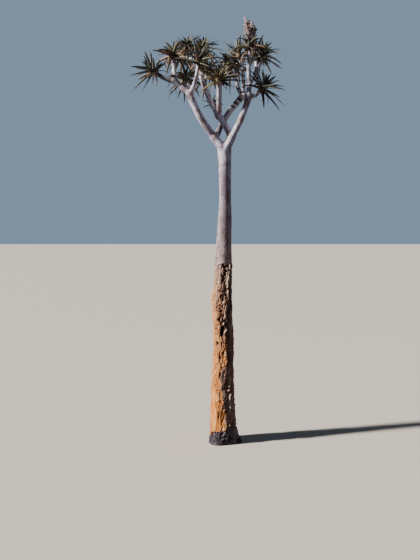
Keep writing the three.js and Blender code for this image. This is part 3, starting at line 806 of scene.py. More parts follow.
class Limb:
    """A limb along the curve (1-t)^2 A + 2t(1-t) B + t^2 C."""

    def __init__(self, name, parent, radius, corners):
        self.name, self.parent, self.radius, self.corners = name, parent, radius, corners
        self.along = SPROUTS.get(name)
        self.joint = parent.point(self.along or 1.0) if parent else corners[0]
        self.children = []

    def point(self, share):
        t = np.asarray(share, float)[..., None]
        a, b, c = self.corners
        return (1 - t) ** 2 * a + 2 * t * (1 - t) * b + t * t * c

    def run(self, share):
        t = np.asarray(share, float)[..., None]
        a, b, c = self.corners
        return unit((1 - t) * (b - a) + t * (c - b))

    def length(self):
        return np.linalg.norm(np.diff(self.point(np.linspace(0, 1, 201)), axis=0), axis=1).sum()

    def reach(self, share):
        """The radius, which tapers to 0.93 and swells again below the limb's own fork."""
        forks = any(not child.along for child in self.children)
        broad = BROAD.get(self.name, SHOULDER) if forks else 0
        return self.radius * (1 - (1 - LIMB_TAPER) * share) * (1 + broad * smooth(share, SHOULDER_START, 1))


def grow_limbs():
    """Each limb starts a little inside its parent, and its middle bows as the table says."""
    foot = FORK - 300 * UP
    limbs = {"trunk": Limb("trunk", None, TRUNK_RADII[-1, 1] / LIMB_TAPER, (foot, (foot + FORK) / 2, FORK))}
    for name, (parent_name, radius, *numbers) in LIMBS.items():
        parent, along = limbs[parent_name], SPROUTS.get(name)
        tip, bow = np.reshape(numbers + [0] * (6 - len(numbers)), (2, 3))
        inset = 0 if along else INSET * parent.radius
        start = parent.point(along or 1.0) - inset * parent.run(along or 1.0)
        end = FORK + tip
        limbs[name] = Limb(name, parent, radius, (start, (start + end) / 2 + 2 * bow, end))
        parent.children.append(limbs[name])
    return limbs


limbs = grow_limbs()
boughs = [name for name in limbs if name != "trunk"]
print(len(boughs), "limbs,", round(sum(limb.length() for limb in limbs.values()) / 1000, 1), "m in all")

# %% [markdown]
# ## One skin over the trunk's top and every limb
# A fork is a smooth saddle, not two tubes pushed through each other. So the tubes get round ends,
# are fused by a voxel remesh, and then relaxed: each point moves part of the way to the mean of its
# neighbours. The remesh gives a plain array of points again, for the bark's swellings and edge.

# %% Round tubes
ROUND_ENDS = 7
SKIN_AROUND = 28


def round_tube(middles, runs, radii):
    """Rings along a middle line with a round cap at both ends, whose rings shrink as a quarter
    circle: reach r*cos(a), r*sin(a) further out."""
    turn = np.linspace(0, math.pi / 2, ROUND_ENDS)[1:]
    shrink = np.maximum(np.cos(turn), 0.02)
    feet = middles[:1] - runs[:1] * radii[0] * np.sin(turn)[::-1, None]
    heads = middles[-1:] + runs[-1:] * radii[-1] * np.sin(turn)[:, None]
    middles = np.concatenate([feet, middles, heads])
    runs = np.concatenate([np.repeat(runs[:1], len(turn), 0), runs, np.repeat(runs[-1:], len(turn), 0)])
    radii = np.concatenate([radii[0] * shrink[::-1], radii, radii[-1] * shrink])
    return middles[:, None] + circle(*square_to(runs), turns(SKIN_AROUND)) * radii[:, None, None]


def tube_along(limb, reach, stations=24):
    """A round tube along a limb, as thick as the function reach says."""
    share = np.linspace(0, 1, stations)
    return round_tube(limb.point(share), limb.run(share), reach(share))

# %% Rough tubes and the fused skin
SKIN_FOOT = 1990
VOXEL = 0.0061
DEEP_RISE = 200


def deepened(rings):
    """Rings made deeper from front to back at the trunk's fork, by the trunk's half thickness over a
    bough's, and less and less up to DEEP_RISE above it, so that the trunk has no shoulder."""
    deep = trunk_radius(FORK[2], 0) / limbs["bough_left"].radius
    share = smooth(rings[..., 2], FORK[2] - 40, FORK[2] + DEEP_RISE)
    rings[..., 1] = rings[..., 1] * mix(deep, 1, share)
    return rings


def rough_skin():
    """The upper trunk and every limb as closed tubes that run into each other."""
    height, bearing = np.linspace(SKIN_FOOT, FORK[2] - 30, 60)[:, None], turns(48)[None, :]
    tubes = [(trunk_place(height, bearing, trunk_radius(height, bearing)), 0)]
    for name in boughs:
        rings = tube_along(limbs[name], limbs[name].reach)
        tubes.append((deepened(rings) if limbs[name].parent.name == "trunk" else rings, 0))
    return bundle("rough_skin", tubes)


def fused(mesh):
    """The mesh after a voxel remesh, as points in millimetres and four-cornered faces."""
    carrier = show("carrier", mesh)
    remesh = carrier.modifiers.new("remesh", "REMESH")
    remesh.mode = "VOXEL"
    remesh.voxel_size = VOXEL
    result = carrier.evaluated_get(bpy.context.evaluated_depsgraph_get()).to_mesh()
    points = np.empty(len(result.vertices) * 3, np.float32)
    quads = np.empty(len(result.loops), np.int32)
    result.vertices.foreach_get("co", points)
    result.loops.foreach_get("vertex_index", quads)
    bpy.data.objects.remove(carrier)
    bpy.data.meshes.remove(mesh)
    return points.reshape(-1, 3).astype(float) / MM, quads.reshape(-1, 4)


skin, skin_quads = fused(rough_skin())
print("fused skin:", len(skin), "points and", len(skin_quads), "faces")

# %% [markdown]
# ## Relaxing the forks and shaping the bark's edge
# `neighbour_mean` is the whole of the relaxing: sums over the edges, with no loop over points.
# Below the peel edge the skin is pushed far inside the worn trunk, which leaves a lip as thick as
# the bark.

# %% Relaxing
ALL_ROUNDS, FORK_ROUNDS = 3, 22


def neighbour_mean(points, quads):
    """Each point's mean neighbour: sums over both ways along every edge, over their number."""
    starts, ends = quads.ravel(), np.roll(quads, -1, 1).ravel()
    total = np.stack([np.bincount(starts, points[ends, k], len(points)) for k in range(3)], 1)
    return total / np.bincount(starts, minlength=len(points))[:, None]


def normals_of(points, quads):
    """Unit normals: each point's sum of the cross products of its faces' diagonals."""
    corners = points[quads]
    faces = np.cross(corners[:, 2] - corners[:, 0], corners[:, 3] - corners[:, 1])
    total = np.zeros_like(points)
    for k, axis in product(range(4), range(3)):
        total[:, axis] += np.bincount(quads[:, k], faces[:, axis], len(points))
    return unit(total)


def near_forks(points):
    """1 at a fork's middle and 0 at twice its thickness away."""
    near = np.zeros(len(points))
    for name in boughs:
        limb = limbs[name]
        away = np.linalg.norm(points - limb.joint, axis=1)
        near = np.maximum(near, fade(away, 0.9 * limb.parent.radius, 2.2 * limb.parent.radius))
    return near


def relaxed(points, quads):
    """A few light rounds everywhere, then more that only move what is near a fork."""
    near = near_forks(points)[:, None]
    for number in range(ALL_ROUNDS + FORK_ROUNDS):
        share = 0.5 if number < ALL_ROUNDS else 0.6 * near
        points = points + share * (neighbour_mean(points, quads) - points)
    return points

# %% Bark on the skin
EDGE_TOP = 2400


def barked(points, quads):
    """Low swellings, faint rings and dimples along the normals, then the tuck under the edge. Also
    the shares of the rim, of the pits, which the finish darkens as painted shade, and of a band of
    painted shade up the trunk's front and back, where it turns from the sunward side to the shaded one."""
    swell = 1.8 * noise(points / np.array([60, 60, 80]), 81) + 0.7 * rough(points / 22, 82)
    rings = 0.5 * noise(points / np.array([45, 45, 7]), 83)
    pits = clefts(noise(points / np.array([17, 17, 24]), 84), 0.2) * clefts(noise(points / 31, 85), 0.25)
    low = fade(points[:, 2], 2250, 2700)
    points = points + normals_of(points, quads) * (swell + rings - 4.5 * low * pits)[:, None]
    middle = smooth_run(TRUNK_WANDER, points[:, 2])
    across, back = points[:, 0] - middle, points[:, 1]
    above = points[:, 2] - peel_edge(np.arctan2(back, across))
    reach = np.hypot(across, back)
    curl = 4 * fade(np.abs(above - 8), 2, 16)
    scale = (reach + curl - 30 * fade(above, -3, 3)) / np.maximum(reach, 1)
    trunk = points[:, 2] < EDGE_TOP
    points[:, 0] = np.where(trunk, middle + across * scale, points[:, 0])
    points[:, 1] = np.where(trunk, back * scale, points[:, 1])
    rim = np.where(trunk, fade(above, 0, 26), 0)
    turned = across / np.maximum(reach, 1) + 0.25 * rough(points / np.array([50, 50, 130]), 87)
    # Painted shade: a darker band where the trunk turns from the sunward side towards the shaded side, on
    # its front and back.
    dusk = smooth(turned, -0.95, -0.3) * fade(turned, 0.3, 0.6)
    dusk = dusk * smooth(points[:, 2], 2220, 2480) * fade(points[:, 2], 3080, 3340)
    return points, {"rim": rim, "pitted": low * pits, "dusk": dusk}

# %% Flakes and bands of painted shade
# Bands across a limb where the skin has flaked, and dark bands of painted shade: share along the
# limb, half length, 1 for fresh white skin, -1 for black and less for painted shade. The dark bands
# on branch_left, branch_far_left and low on bough_behind are painted shade.
FLAKE_AND_SHADE_BANDS = {
    "branch_left": [(0.95, 100, -0.6)], "branch_far_left": [(0.45, 150, -0.6)],
    "bough_behind": [
        (0.95, 18, 1), (0.893, 14, -1), (0.845, 12, 1), (0.803, 13, -1), (0.76, 12, 1),
        (0.722, 10, -1), (0.67, 20, 1), (0.4, 8, -1), (0.19, 75, -0.55),
    ],
    "branch_inner_right": [
        (0.12, 9, -1), (0.18, 9, 1), (0.26, 7, -1), (0.33, 12, 1), (0.4, 8, -1), (0.47, 10, 1),
        (0.54, 8, -1), (0.61, 9, 1), (0.68, 8, -1), (0.75, 9, 1), (0.82, 6, -1),
    ],
    "branch_inner": [(0.5, 7, -1), (0.56, 7, 1)],
}


def flakes_and_painted_shade(points):
    """1 on fresh white flakes, -1 on black ones, from 0 to -1 on bands of painted shade, and 0
    elsewhere: for each band, a point's distance from its middle along the limb, with a slant and noise,
    against the half length, and only within a radius and a half of the limb's line."""
    flake_and_shade = np.zeros(len(points))
    waver = 9 * rough(points / 26, 86)
    for name, bands in FLAKE_AND_SHADE_BANDS.items():
        for share, half, tone in bands:
            offset = points - limbs[name].point(share)
            run = unit(limbs[name].run(share) + 0.25 * tone * np.array([1.0, 0.0, 0.0]))
            along = offset @ run
            away = np.linalg.norm(offset - along[:, None] * run, axis=1) / limbs[name].radius
            inside = fade(np.abs(along + waver) / half, 0.8, 1.1) * fade(away, 1.4, 1.7)
            flake_and_shade = np.where(np.abs(tone) * inside > np.abs(flake_and_shade), tone * inside, flake_and_shade)
    return flake_and_shade

# %% Finished skin
skin = relaxed(skin, skin_quads)
flake_and_shade = flakes_and_painted_shade(skin)
skin, values = barked(skin, skin_quads)
# black holds both the black flakes and the bands of painted shade.
values |= {"white": np.maximum(flake_and_shade, 0), "black": np.maximum(-flake_and_shade, 0)}
skin_mesh = mesh_of("pale_bark", skin, skin_quads, np.empty((0, 3), np.int32), values=values)
print("pale bark reaches", skin.min(0).round(1).tolist(), skin.max(0).round(1).tolist())

# %% [markdown]
# ## The pale bark's finish
# Young bark is like dull satin: grey with a little lilac where it is old, nearly white on the
# boughs, with faint rings, specks of lichen, and black and white scales where it flakes. Low on the
# trunk it darkens towards pink-brown and breaks into small pits, which are darkened as painted
# shade. Dark bands on the far left limbs and low on the back bough, and a band up the trunk's front
# and back, are painted shade.

# %% Pale bark finish
def pale_finish():
    """Coats of paint over the clean grey, as on the worn bark."""
    finish = Finish("pale_bark")
    height, share = finish.height(2.0, 4.0), finish.attribute
    blotch, ring = finish.noise(14, 4, 0.5), finish.noise(22, 4, 4.5)
    speck, fine, fleck = finish.noise(120, 3), finish.noise(260, 2), finish.noise(75, 3, 0.5)
    clean = finish.ramp(
        height, (0.0, 164, 140, 138), (0.12, 168, 150, 156), (0.35, 176, 166, 180),
        (0.6, 206, 200, 220), (1.0, 224, 220, 238),
    )
    worn = finish.ramp(height, (0.0, 124, 94, 88), (0.4, 136, 114, 122), (1.0, 146, 122, 128))
    colour = finish.painted(
        clean,
        (blotch.step(0.46, 0.62), worn),
        (ring.step(0.54, 0.66) * 0.45, (124, 106, 110)),
        # Painted shade between the sunlit and the shaded side of the upper trunk.
        (share("dusk") * (0.55 + blotch * 0.6), (100, 85, 97)),
        (speck.step(0.64, 0.7) * 0.6, (84, 70, 70)),
        (fleck.step(0.57, 0.64) * (1 - height.step(0.15, 0.4)) * 0.8, (216, 194, 186)),
        (share("white").step(0.2, 0.7), (238, 232, 234)),
        # Black flakes, and the bands of painted shade on the far left limbs and the back bough.
        (share("black").step(0.2, 0.7), (22, 20, 24)),
        # Painted shade in the small pits low on the trunk.
        (share("pitted") * 0.8, (84, 64, 58)),
        (share("rim") * 0.6, (120, 92, 80)),
    )
    return finish.dress(colour, 0.5 + blotch * 0.3, ring * 0.6 + speck * 0.25 + fine * 0.2, 0.003, 0.6)


add_piece("pale_bark", skin_mesh, [pale_finish()], ["trunk", *boughs])

# %% [markdown]
# ## How a rosette grows
# Every limb that ends carries one rosette. Each leaf leaves the stem a golden angle on from the one
# before, so that none stands right above another. Old leaves start low and lie nearly level, young
# ones start high and stand up, and each sags under its own weight. The draws are the same seeded
# run of numbers as in the solids. A leaf that would touch a limb or another rosette isn't grown.

# %% Table of rosettes
# For each branch with a rosette: its seed, how much its leaves sag, how many degrees more than usual
# they rise, its mix of leaf colours, and how many withered leaves hang under it
ROSETTES = {
    "far_left": (453, 0.3, 5, "dark", 4), "left_high": (701, 1.5, 0, "tan", 11),
    "left_low": (6141, 1.2, -5, "dark", 4), "left_near": (7017, 0.3, 5, "green", 6),
    "back": (8003, 0.3, -15, "green", 6), "top_middle": (7967, 1.0, -5, "tan", 12),
    "top_left": (4737, 1.5, -15, "tan", 13), "back_left": (9345, 1.5, -15, "tan", 10),
    "front": (3786, 0.3, 5, "yellow", 4), "sprout": (8914, 0.3, 10, "green", 4),
    "inner_near": (4409, 1.5, -15, "tan", 8), "back_inner": (1852, 0.7, -5, "green", 4),
    "inner_right": (1972, 0.4, 8, "green", 4), "far_right": (4479, 0.5, 0, "dark", 4),
    "top_right": (3094, 1.6, 8, "green", 7), "right_outer": (5099, 1.0, 8, "tan", 10),
    "back_right": (9372, 1.2, -10, "green", 4),
}
GAP = 0.3
STEM_LENGTH = 92
LEAVES, SPROUT_LEAVES, SPROUT_SIZE = 19, 12, 0.5
LEAF_LENGTH, LEAF_HALF_WIDTH, LEAF_POINT, LEAF_ROOT_DEPTH = 300, 26, 0.62, 0.4
LEAF_NECK, NECK_LENGTH = 0.62, 0.25
GOLDEN_ANGLE = math.radians(137.508)
TURN_SPREAD, PITCH_SPREAD = math.radians(24), math.radians(18)
PITCHES, ROOTS = (-5, 62), (0.14, 0.9)
LENGTH_LEAST, LENGTH_SPREAD = 0.9, 0.22
YOUNG_AGE, YOUNG_SHORTER, OLD_SHORTER = 0.6, 0.5, 0.1
SAG, SAG_LEAST, SAG_SPREAD, SAG_LOST = 0.48, 0.3, 1.4, 0.8
SAMPLE_SPACING, SAMPLES_FROM = 25, 0.22
LEAF_ROOM, LEAF_REACH = 3, 9

# %% Rosettes
def seeded(seed):
    """A run of numbers from 0 to 1: the last one times 48271, modulo 2^31 - 1."""
    state = seed
    while True:
        state = state * 48271 % 2147483647
        yield state / 2147483647


def spaced(length):
    """Even shares of a length, no more than SAMPLE_SPACING apart."""
    steps = math.ceil(length / SAMPLE_SPACING)
    return np.arange(steps + 1) / steps


class Rosette:
    """A stem on a limb's tip, and the leaves that it has put out."""

    def __init__(self, limb, row):
        self.limb, self.axis, self.leaves = limb, limb.run(1), []
        self.side, self.other = square_to(self.axis)
        self.radius = limb.radius * LIMB_TAPER
        self.size, self.count = (SPROUT_SIZE, SPROUT_LEAVES) if limb.along else (1, LEAVES)
        self.foot = limb.point(1) + GAP * self.axis
        seed, self.droop, lift, self.tint, self.withered = row
        self.random = seeded(seed)
        self.pitches = [math.radians(pitch) + math.radians(lift) for pitch in PITCHES]
        share = spaced(STEM_LENGTH * self.size)
        self.places, self.rooms = [self.up(share[:, None])], [np.full(len(share), self.radius)]

    def up(self, share):
        """The place this share up the stem."""
        return self.foot + self.axis * share * STEM_LENGTH * self.size

    def outward(self, turn):
        return self.side * math.cos(turn) + self.other * math.sin(turn)

    def leaf(self, number, age):
        """The next leaf: its turn, pitch, length and sag each take one draw."""
        outward = self.outward(number * GOLDEN_ANGLE + TURN_SPREAD * (next(self.random) - 0.5))
        pitch = mix(*self.pitches, age) + PITCH_SPREAD * (next(self.random) - 0.5)
        shorter = YOUNG_SHORTER * max(age - YOUNG_AGE, 0) / (1 - YOUNG_AGE) + OLD_SHORTER * (1 - age)
        length = LEAF_LENGTH * self.size * (LENGTH_LEAST + LENGTH_SPREAD * next(self.random) - shorter)
        sag = SAG * self.droop * (1 - SAG_LOST * age) * (SAG_LEAST + SAG_SPREAD * next(self.random))
        heading = outward * math.cos(pitch) + self.axis * math.sin(pitch)
        rise = STEM_LENGTH * self.size * mix(*ROOTS, age)
        root = self.foot + self.axis * rise + outward * LEAF_ROOT_DEPTH * self.radius
        shape = dict(root=root, heading=heading, across=unit(np.cross(self.axis, heading)))
        return SimpleNamespace(age=age, length=length, sag=sag, size=self.size, **shape)

# %% Leaves that keep clear
def leaf_middle(leaf, share):
    """Straight out along the heading, sagging with the square of the distance."""
    s = np.asarray(share)[:, None]
    return leaf.root + leaf.heading * leaf.length * s - UP * leaf.sag * leaf.length * s * s


def leaf_samples(leaf):
    """Places along a leaf and the room that each of them needs."""
    share = mix(SAMPLES_FROM, 1, spaced(leaf.length))
    neck = mix(LEAF_NECK, 1, np.minimum(share / NECK_LENGTH, 1))
    wide = LEAF_HALF_WIDTH * neck * leaf.size**0.5 * (1 - share) ** LEAF_POINT
    return leaf_middle(leaf, share), np.maximum(wide, LEAF_REACH)


def touches(places, rooms, others, other_rooms):
    """Whether any two places are closer than their rooms and a little more."""
    away = np.linalg.norm(places[:, None] - others[None], axis=-1)
    return bool((away < rooms[:, None] + other_rooms[None] + LEAF_ROOM).any())


def wood_samples():
    """Places along every limb, the trunk's top among them, and their radii."""
    shares = [(limb, spaced(limb.length())) for limb in limbs.values()]
    places = np.concatenate([limb.point(share) for limb, share in shares])
    return places, np.concatenate([limb.reach(share) for limb, share in shares])


def try_leaf(rosette, leaf):
    """Keeps a leaf if it stays clear of the wood and of all other rosettes."""
    places, rooms = leaf_samples(leaf)
    others = [other for other in rosettes if other is not rosette]
    barriers = [wood] + [(np.concatenate(other.places), np.concatenate(other.rooms)) for other in others]
    if not any(touches(places, rooms, *barrier) for barrier in barriers):
        rosette.leaves.append(leaf)
        rosette.places.append(places)
        rosette.rooms.append(rooms)

# %% The solids' leaves
rosettes = [Rosette(limbs["branch_" + name], row) for name, row in ROSETTES.items()]
wood = wood_samples()
for number, rosette in product(range(LEAVES), rosettes):
    if number < rosette.count:
        try_leaf(rosette, rosette.leaf(number, number / (rosette.count - 1)))
print(sum(len(rosette.leaves) for rosette in rosettes), "leaves by the solids' rule")

# %% [markdown]
# ## Filling the rosettes
# The solids have as few leaves as give the crown its outline. A living rosette is fuller, so the
# rule is carried on: shorter leaves between the first ones, and a heart of small upright leaves
# that are still unfolding.

# %% Leaves between and heart leaves
BETWEEN_LEAVES, BETWEEN_TURN, BETWEEN_SHORTER = 9, 0.37, (0.66, 0.95)
HEART_LEAVES, HEART_TURN = 5, 0.5

for number, rosette in product(range(BETWEEN_LEAVES), rosettes):
    leaf = rosette.leaf(number + BETWEEN_TURN, number / (BETWEEN_LEAVES - 1))
    leaf.length *= mix(*BETWEEN_SHORTER, next(rosette.random))
    try_leaf(rosette, leaf)
for number, rosette in product(range(HEART_LEAVES), rosettes):
    leaf = rosette.leaf(number + HEART_TURN, 1 + 0.05 * number)
    leaf.length *= 0.9 - 0.09 * number
    rosette.leaves.append(leaf)
print(sum(len(rosette.leaves) for rosette in rosettes), "leaves in all")

# %% [markdown]
# ## The shape of one leaf
# A leaf is thick and full of water. It clasps the stem with a broad foot, stays broad for half its
# length and runs to a point, hollowed like a gutter above and rounded below. So its section has
# eight points: two raised rims, three across the gutter and three under the belly. Every leaf bends
# and twists a little, because no two grow alike.

# %% Leaf surfaces
BLADE_HALF_WIDTH, BLADE_POINT, BLADE_THICKNESS = 25, 0.6, 10
GUTTER = 0.42
STATIONS = 15
SECTION = np.array([
    (1, 1, 0), (0.6, 0.3, 0), (0, 0, 0), (-0.6, 0.3, 0),
    (-1, 1, 0), (-0.72, 0, 0.62), (0, 0, 1), (0.72, 0, 0.62),
])


def twisted(run, side, twist):
    """The directions across and above a leaf after its side has turned about its run."""
    across = side * np.cos(twist) + np.cross(run, side) * np.sin(twist)
    return across, np.cross(run, across)


def leaf_rings(middle, across, above, wide, high):
    """The section at each station: its x times the half width, across, and high above."""
    x = SECTION[:, 0] * wide[:, None]
    return middle[:, None] + across[:, None] * x[..., None] + above[:, None] * high[..., None]


def blade(leaf, draw):
    """Rings of a leaf. Its half width is 25 mm times (1-s)^0.6, with a neck above the foot. The rims
    stand GUTTER of it high, and the belly hangs 10 mm times (1-s)^0.5 low."""
    s = np.linspace(0, 1, STATIONS) ** 0.9
    run = unit(leaf.heading - UP * 2 * leaf.sag * s[:, None])
    across, above = twisted(run, leaf.across, draw.uniform(-0.5, 0.5) * s[:, None])
    middle = leaf_middle(leaf, s) + across * leaf.length * draw.normal(0, 0.045) * (s * s)[:, None]
    middle = middle - UP * leaf.length * draw.uniform(0, 0.05) * (s**5)[:, None]
    size = leaf.size**0.5 * min(leaf.length / LEAF_LENGTH + 0.25, 1)
    neck = 1 + 0.18 * np.exp(-s / 0.06) - 0.1 * np.exp(-(((s - 0.16) / 0.1) ** 2))
    wide = BLADE_HALF_WIDTH * size * neck * np.maximum(1 - s, 0.003) ** BLADE_POINT
    rim = GUTTER * (1 - 0.35 * s) * wide
    belly = BLADE_THICKNESS * size * np.maximum(1 - s, 0.004) ** 0.5
    high = SECTION[:, 1] * rim[:, None] - SECTION[:, 2] * belly[:, None]
    return leaf_rings(middle, across, above, wide, high)

# %% [markdown]
# ## Which leaf has which colour
# Colours go by the leaf: old ones are yellowed and bronzed with dry tips, young ones are
# grey-green, and whole rosettes differ. Each colour is a plain finish with a fine mottling of its
# own, and a leaf's faces are dealt to these finishes.

# %% Leaf colours
GREENS = {
    "deep_green": ((35, 42, 39), (52, 58, 54)),
    "grey_green": ((74, 80, 74), (100, 104, 97)),
    "olive": ((88, 82, 60), (114, 105, 83)),
    "yellow_olive": ((104, 93, 66), (127, 114, 85)),
    "bronze": ((104, 78, 63), (132, 101, 82)),
    "dry_tan": ((162, 130, 107), (190, 160, 138)),
    "dry_brown": ((62, 47, 42), (92, 71, 60)),
}
SLOTS = {name: slot for slot, name in enumerate(GREENS)}
# Shares of the first six colours, for old leaves and for young ones
TINTS = {
    "dark": ((0.5, 0.3, 0.1, 0, 0.06, 0.04), (0.64, 0.36, 0, 0, 0, 0)),
    "green": ((0.22, 0.3, 0.24, 0.08, 0.1, 0.06), (0.4, 0.46, 0.14, 0, 0, 0)),
    "tan": ((0.1, 0.14, 0.2, 0.16, 0.21, 0.19), (0.26, 0.32, 0.22, 0.14, 0.06, 0)),
    "yellow": ((0.06, 0.12, 0.34, 0.32, 0.1, 0.06), (0.1, 0.26, 0.4, 0.24, 0, 0)),
}
HALF_AGE, TIPPED_AGE = 0.45, 0.8


def blade_slots(leaf, tint, draw):
    """One slot for each step along a leaf: a foot, a blade and a dry tip."""
    tints = TINTS[tint][int(leaf.age > HALF_AGE)]
    slots = np.full(STATIONS - 1, draw.choice(len(tints), p=tints))
    if leaf.age < TIPPED_AGE:
        slots[-draw.integers(1, 3):] = SLOTS["dry_brown"]
    slots[0] = SLOTS["yellow_olive"]
    return slots[:, None]


def leaf_finish(name, dark, light):
    """A waxy skin: two close tones mottled, and a fine even grain."""
    finish = Finish(name)
    mottle, grain = finish.noise(38, 3), finish.noise(240, 2)
    colour = finish.painted(dark, (mottle.step(0.38, 0.64), light))
    return finish.dress(colour, 0.42 + grain * 0.25, grain * 0.5 + mottle, 0.002, 0.5)


draw = np.random.default_rng(11)
blades = [
    (blade(leaf, draw), blade_slots(leaf, rosette.tint, draw))
    for rosette in rosettes for leaf in rosette.leaves
]
leaf_finishes = [leaf_finish(name, *tones) for name, tones in GREENS.items()]
rosette_nodes = ["rosette_" + name for name in ROSETTES]
add_piece("leaves", bundle("leaves", blades), leaf_finishes, rosette_nodes)

# %% [markdown]
# ## Withered leaves
# Old leaves dry on the tree and hang under a rosette, thin and curled, for a year or more. Each is
# a folded strip along a line that leaves the stem, drops and rolls up. Some rosettes have a thick
# beard of them and others hardly any.

# %% Withered leaves
WITHERED_LENGTH = (90, 190)
WITHERED_STATIONS = 13
DRY_COLOURS, DRY_SHARES = ("bronze", "dry_tan", "dry_brown"), (0.3, 0.36, 0.34)


def withered(rosette, number, draw):
    """Rings of a dry leaf. The angle of its middle line below level is a start plus a fall times s,
    plus a curl times s^3, summed along s."""
    outward = rosette.outward(number * GOLDEN_ANGLE + draw.normal(0, 0.4))
    length = draw.uniform(*WITHERED_LENGTH) * rosette.size
    s = np.linspace(0, 1, WITHERED_STATIONS)
    angle = draw.uniform(-0.2, 0.7) + draw.uniform(0.6, 1.4) * s + draw.uniform(-0.6, 2.2) * s**3
    level = unit(outward * np.array([1, 1, 0.2]) + 1e-6)
    run = level * np.cos(angle)[:, None] - UP * np.sin(angle)[:, None]
    root = rosette.up(draw.uniform(-0.05, 0.3)) + outward * 0.6 * rosette.radius
    steps = (run[:-1] + run[1:]) / 2 * length / (WITHERED_STATIONS - 1)
    middle = root + np.concatenate([np.zeros((1, 3)), np.cumsum(steps, 0)])
    frame = twisted(run, unit(np.cross(UP, level)), draw.uniform(-1.6, 1.6) * s[:, None])
    wide = draw.uniform(9, 15) * rosette.size**0.5 * np.maximum(1 - s, 0.01) ** 0.55
    fold = draw.uniform(0.5, 1.3) * wide
    high = SECTION[:, 1] * fold[:, None] - (0.6 + SECTION[:, 2] * 1.6) * (1 - 0.6 * s[:, None])
    return leaf_rings(middle, *frame, wide, high)


draw = np.random.default_rng(12)
dry_slots = [SLOTS[name] for name in DRY_COLOURS]
dry_leaves = [
    (withered(rosette, number, draw), draw.choice(dry_slots, p=DRY_SHARES))
    for rosette in rosettes for number in range(rosette.withered)
]
add_piece("withered_leaves", bundle("withered_leaves", dry_leaves), leaf_finishes, [])

# %% [markdown]
# ## Stems under the leaves
# A rosette's stem is covered by the clasping feet of leaves that have gone, in two sets of spirals
# that cross. Each scale is a lozenge of that crossing, highest in its middle.

# %% Stems
STEM_AROUND, STEM_RINGS, STEM_START = 40, 34, -0.2
SPIRALS, SPIRAL_PITCHES = (5, 8), (4.2, -5.6)
SCALE_HEIGHT, SCALE_EDGE = 3.4, 0.44


def stem(rosette):
    """Rings and slots of a stem: it swells by 0.28 in its middle and rounds off at its top, and its
    scales stand along 5 spirals one way and 8 the other."""
    share = np.linspace(STEM_START, 1, STEM_RINGS)[:, None]
    turn = turns(STEM_AROUND)[None, :]
    first, second = (n * turn / (2 * math.pi) + pitch * share for n, pitch in zip(SPIRALS, SPIRAL_PITCHES))
    edge = np.maximum(np.abs(first % 1 - 0.5), np.abs(second % 1 - 0.5))
    swell = 1.03 + 0.28 * np.sin(math.pi * np.clip(share, 0, 1))
    top = np.sqrt(np.maximum(1 - np.maximum(share, 0) ** 6, 0.003))
    below = smooth(share, STEM_START, STEM_START + 0.1)
    reach = rosette.radius * swell * top * mix(0.96, 1, below) + SCALE_HEIGHT * (1 - 2 * edge) * top * below
    rings = rosette.up(share)[:, None] + circle(rosette.side, rosette.other, turn) * reach[..., None]
    key = (np.floor(first) * 7 + np.floor(second) * 13).astype(int) % 5
    slots = np.where(edge > SCALE_EDGE, 2, np.array([0, 1, 2, 0, 1])[key])
    return rings, slots[:-1]


stem_finishes = [leaf_finish("stem_" + name, *GREENS[name]) for name in DRY_COLOURS]
add_piece("stems", bundle("stems", map(stem, rosettes)), stem_finishes, [])

# %% [markdown]
# ## The dry flower head
# One rosette still holds last winter's flowers, gone to seed. Spikes part above one stalk, the
# solids' five and four more, each packed with pointed capsules. A capsule is a small spindle that
# leans outward and up, placed by the golden angle again.

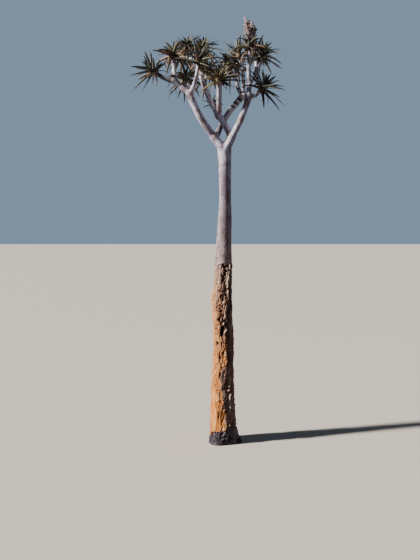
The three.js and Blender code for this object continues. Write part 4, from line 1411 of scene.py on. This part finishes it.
# %% Table of spikes
# Each spike's lean to the right and the back, and how much of the rise to the top it has
PANICLE_SPIKES = (
    ((-56, 0), 1), ((-30, 40), 0.82), ((20, -25), 0.78), ((-38, -40), 0.6), ((65, 10), 0.58),
    ((-12, 5), 0.88), ((-66, 8), 0.7), ((48, -22), 0.66), ((-8, -44), 0.62),
)
TREE_HEIGHT = 5000
STALK_FOOT, STALK_RADII = 0.6, (8, 1.5)
SPIKE_BEND = (0.35, 0.3)
PODS, PODS_SPAN = 84, (0.2, 0.985)
POD_LENGTH, POD_TURN, POD_RINGS = 48, 6, 6
HUSKS = {
    "husk_pink": ((168, 140, 142), (200, 172, 172)),
    "husk_brown": ((104, 78, 72), (138, 108, 96)),
    "husk_grey": ((154, 146, 150), (190, 182, 184)),
}
HUSK_SHARES = (0.4, 0.3, 0.3)

# %% Spikes and pods
def spike_limb(foot, lean, share_up):
    """A spike's middle line, bent like the solid's."""
    rise = TREE_HEIGHT - foot[2] - 6
    lean = np.array([*lean, 0.0])
    middle = foot + lean * SPIKE_BEND[0] + UP * rise * SPIKE_BEND[1]
    return Limb("spike", None, STALK_RADII[0], (foot, middle, foot + lean + UP * rise * share_up))


def pod(place, heading, length, draw):
    """Rings of a capsule: half width 0.22 of its length times sin(pi*s)^0.7, with three ridges."""
    s = np.linspace(0, 1, POD_RINGS)
    turn = turns(POD_TURN) + draw.uniform(0, 1)
    wide = 0.22 * length * np.maximum(np.sin(math.pi * s), 0.06) ** 0.7
    reach = wide[:, None] * (1 + 0.14 * (np.arange(POD_TURN) % 2))
    middle = place + (heading * length * s[:, None])[:, None]
    return middle + circle(*square_to(heading), turn) * reach[..., None]

# %% Panicle
draw = np.random.default_rng(13)
panicle = []
bearer = next(rosette for rosette in rosettes if rosette.limb.name == "branch_top_right")
for lean, share_up in PANICLE_SPIKES:
    spike = spike_limb(bearer.foot + bearer.axis * STEM_LENGTH * STALK_FOOT, lean, share_up)
    panicle.append((tube_along(spike, partial(mix, *STALK_RADII), 14), 1))
    pods = round(PODS * share_up)
    for number in range(pods):
        share = mix(*PODS_SPAN, (number / (pods - 1)) ** 0.9)
        side, other = square_to(spike.run(share))
        turn = number * GOLDEN_ANGLE
        outward = side * math.cos(turn) + other * math.sin(turn)
        lift = mix(0.55, 1.2, share) + draw.normal(0, 0.18)
        heading = outward * math.cos(lift) + spike.run(share) * math.sin(lift)
        length = POD_LENGTH * mix(1, 0.6, share**2) * draw.uniform(0.8, 1.15)
        panicle.append((pod(spike.point(share), heading, length, draw), draw.choice(3, p=HUSK_SHARES)))
husk_finishes = [leaf_finish(name, *tones) for name, tones in HUSKS.items()]
add_piece("panicle", bundle("panicle", panicle), husk_finishes, [])
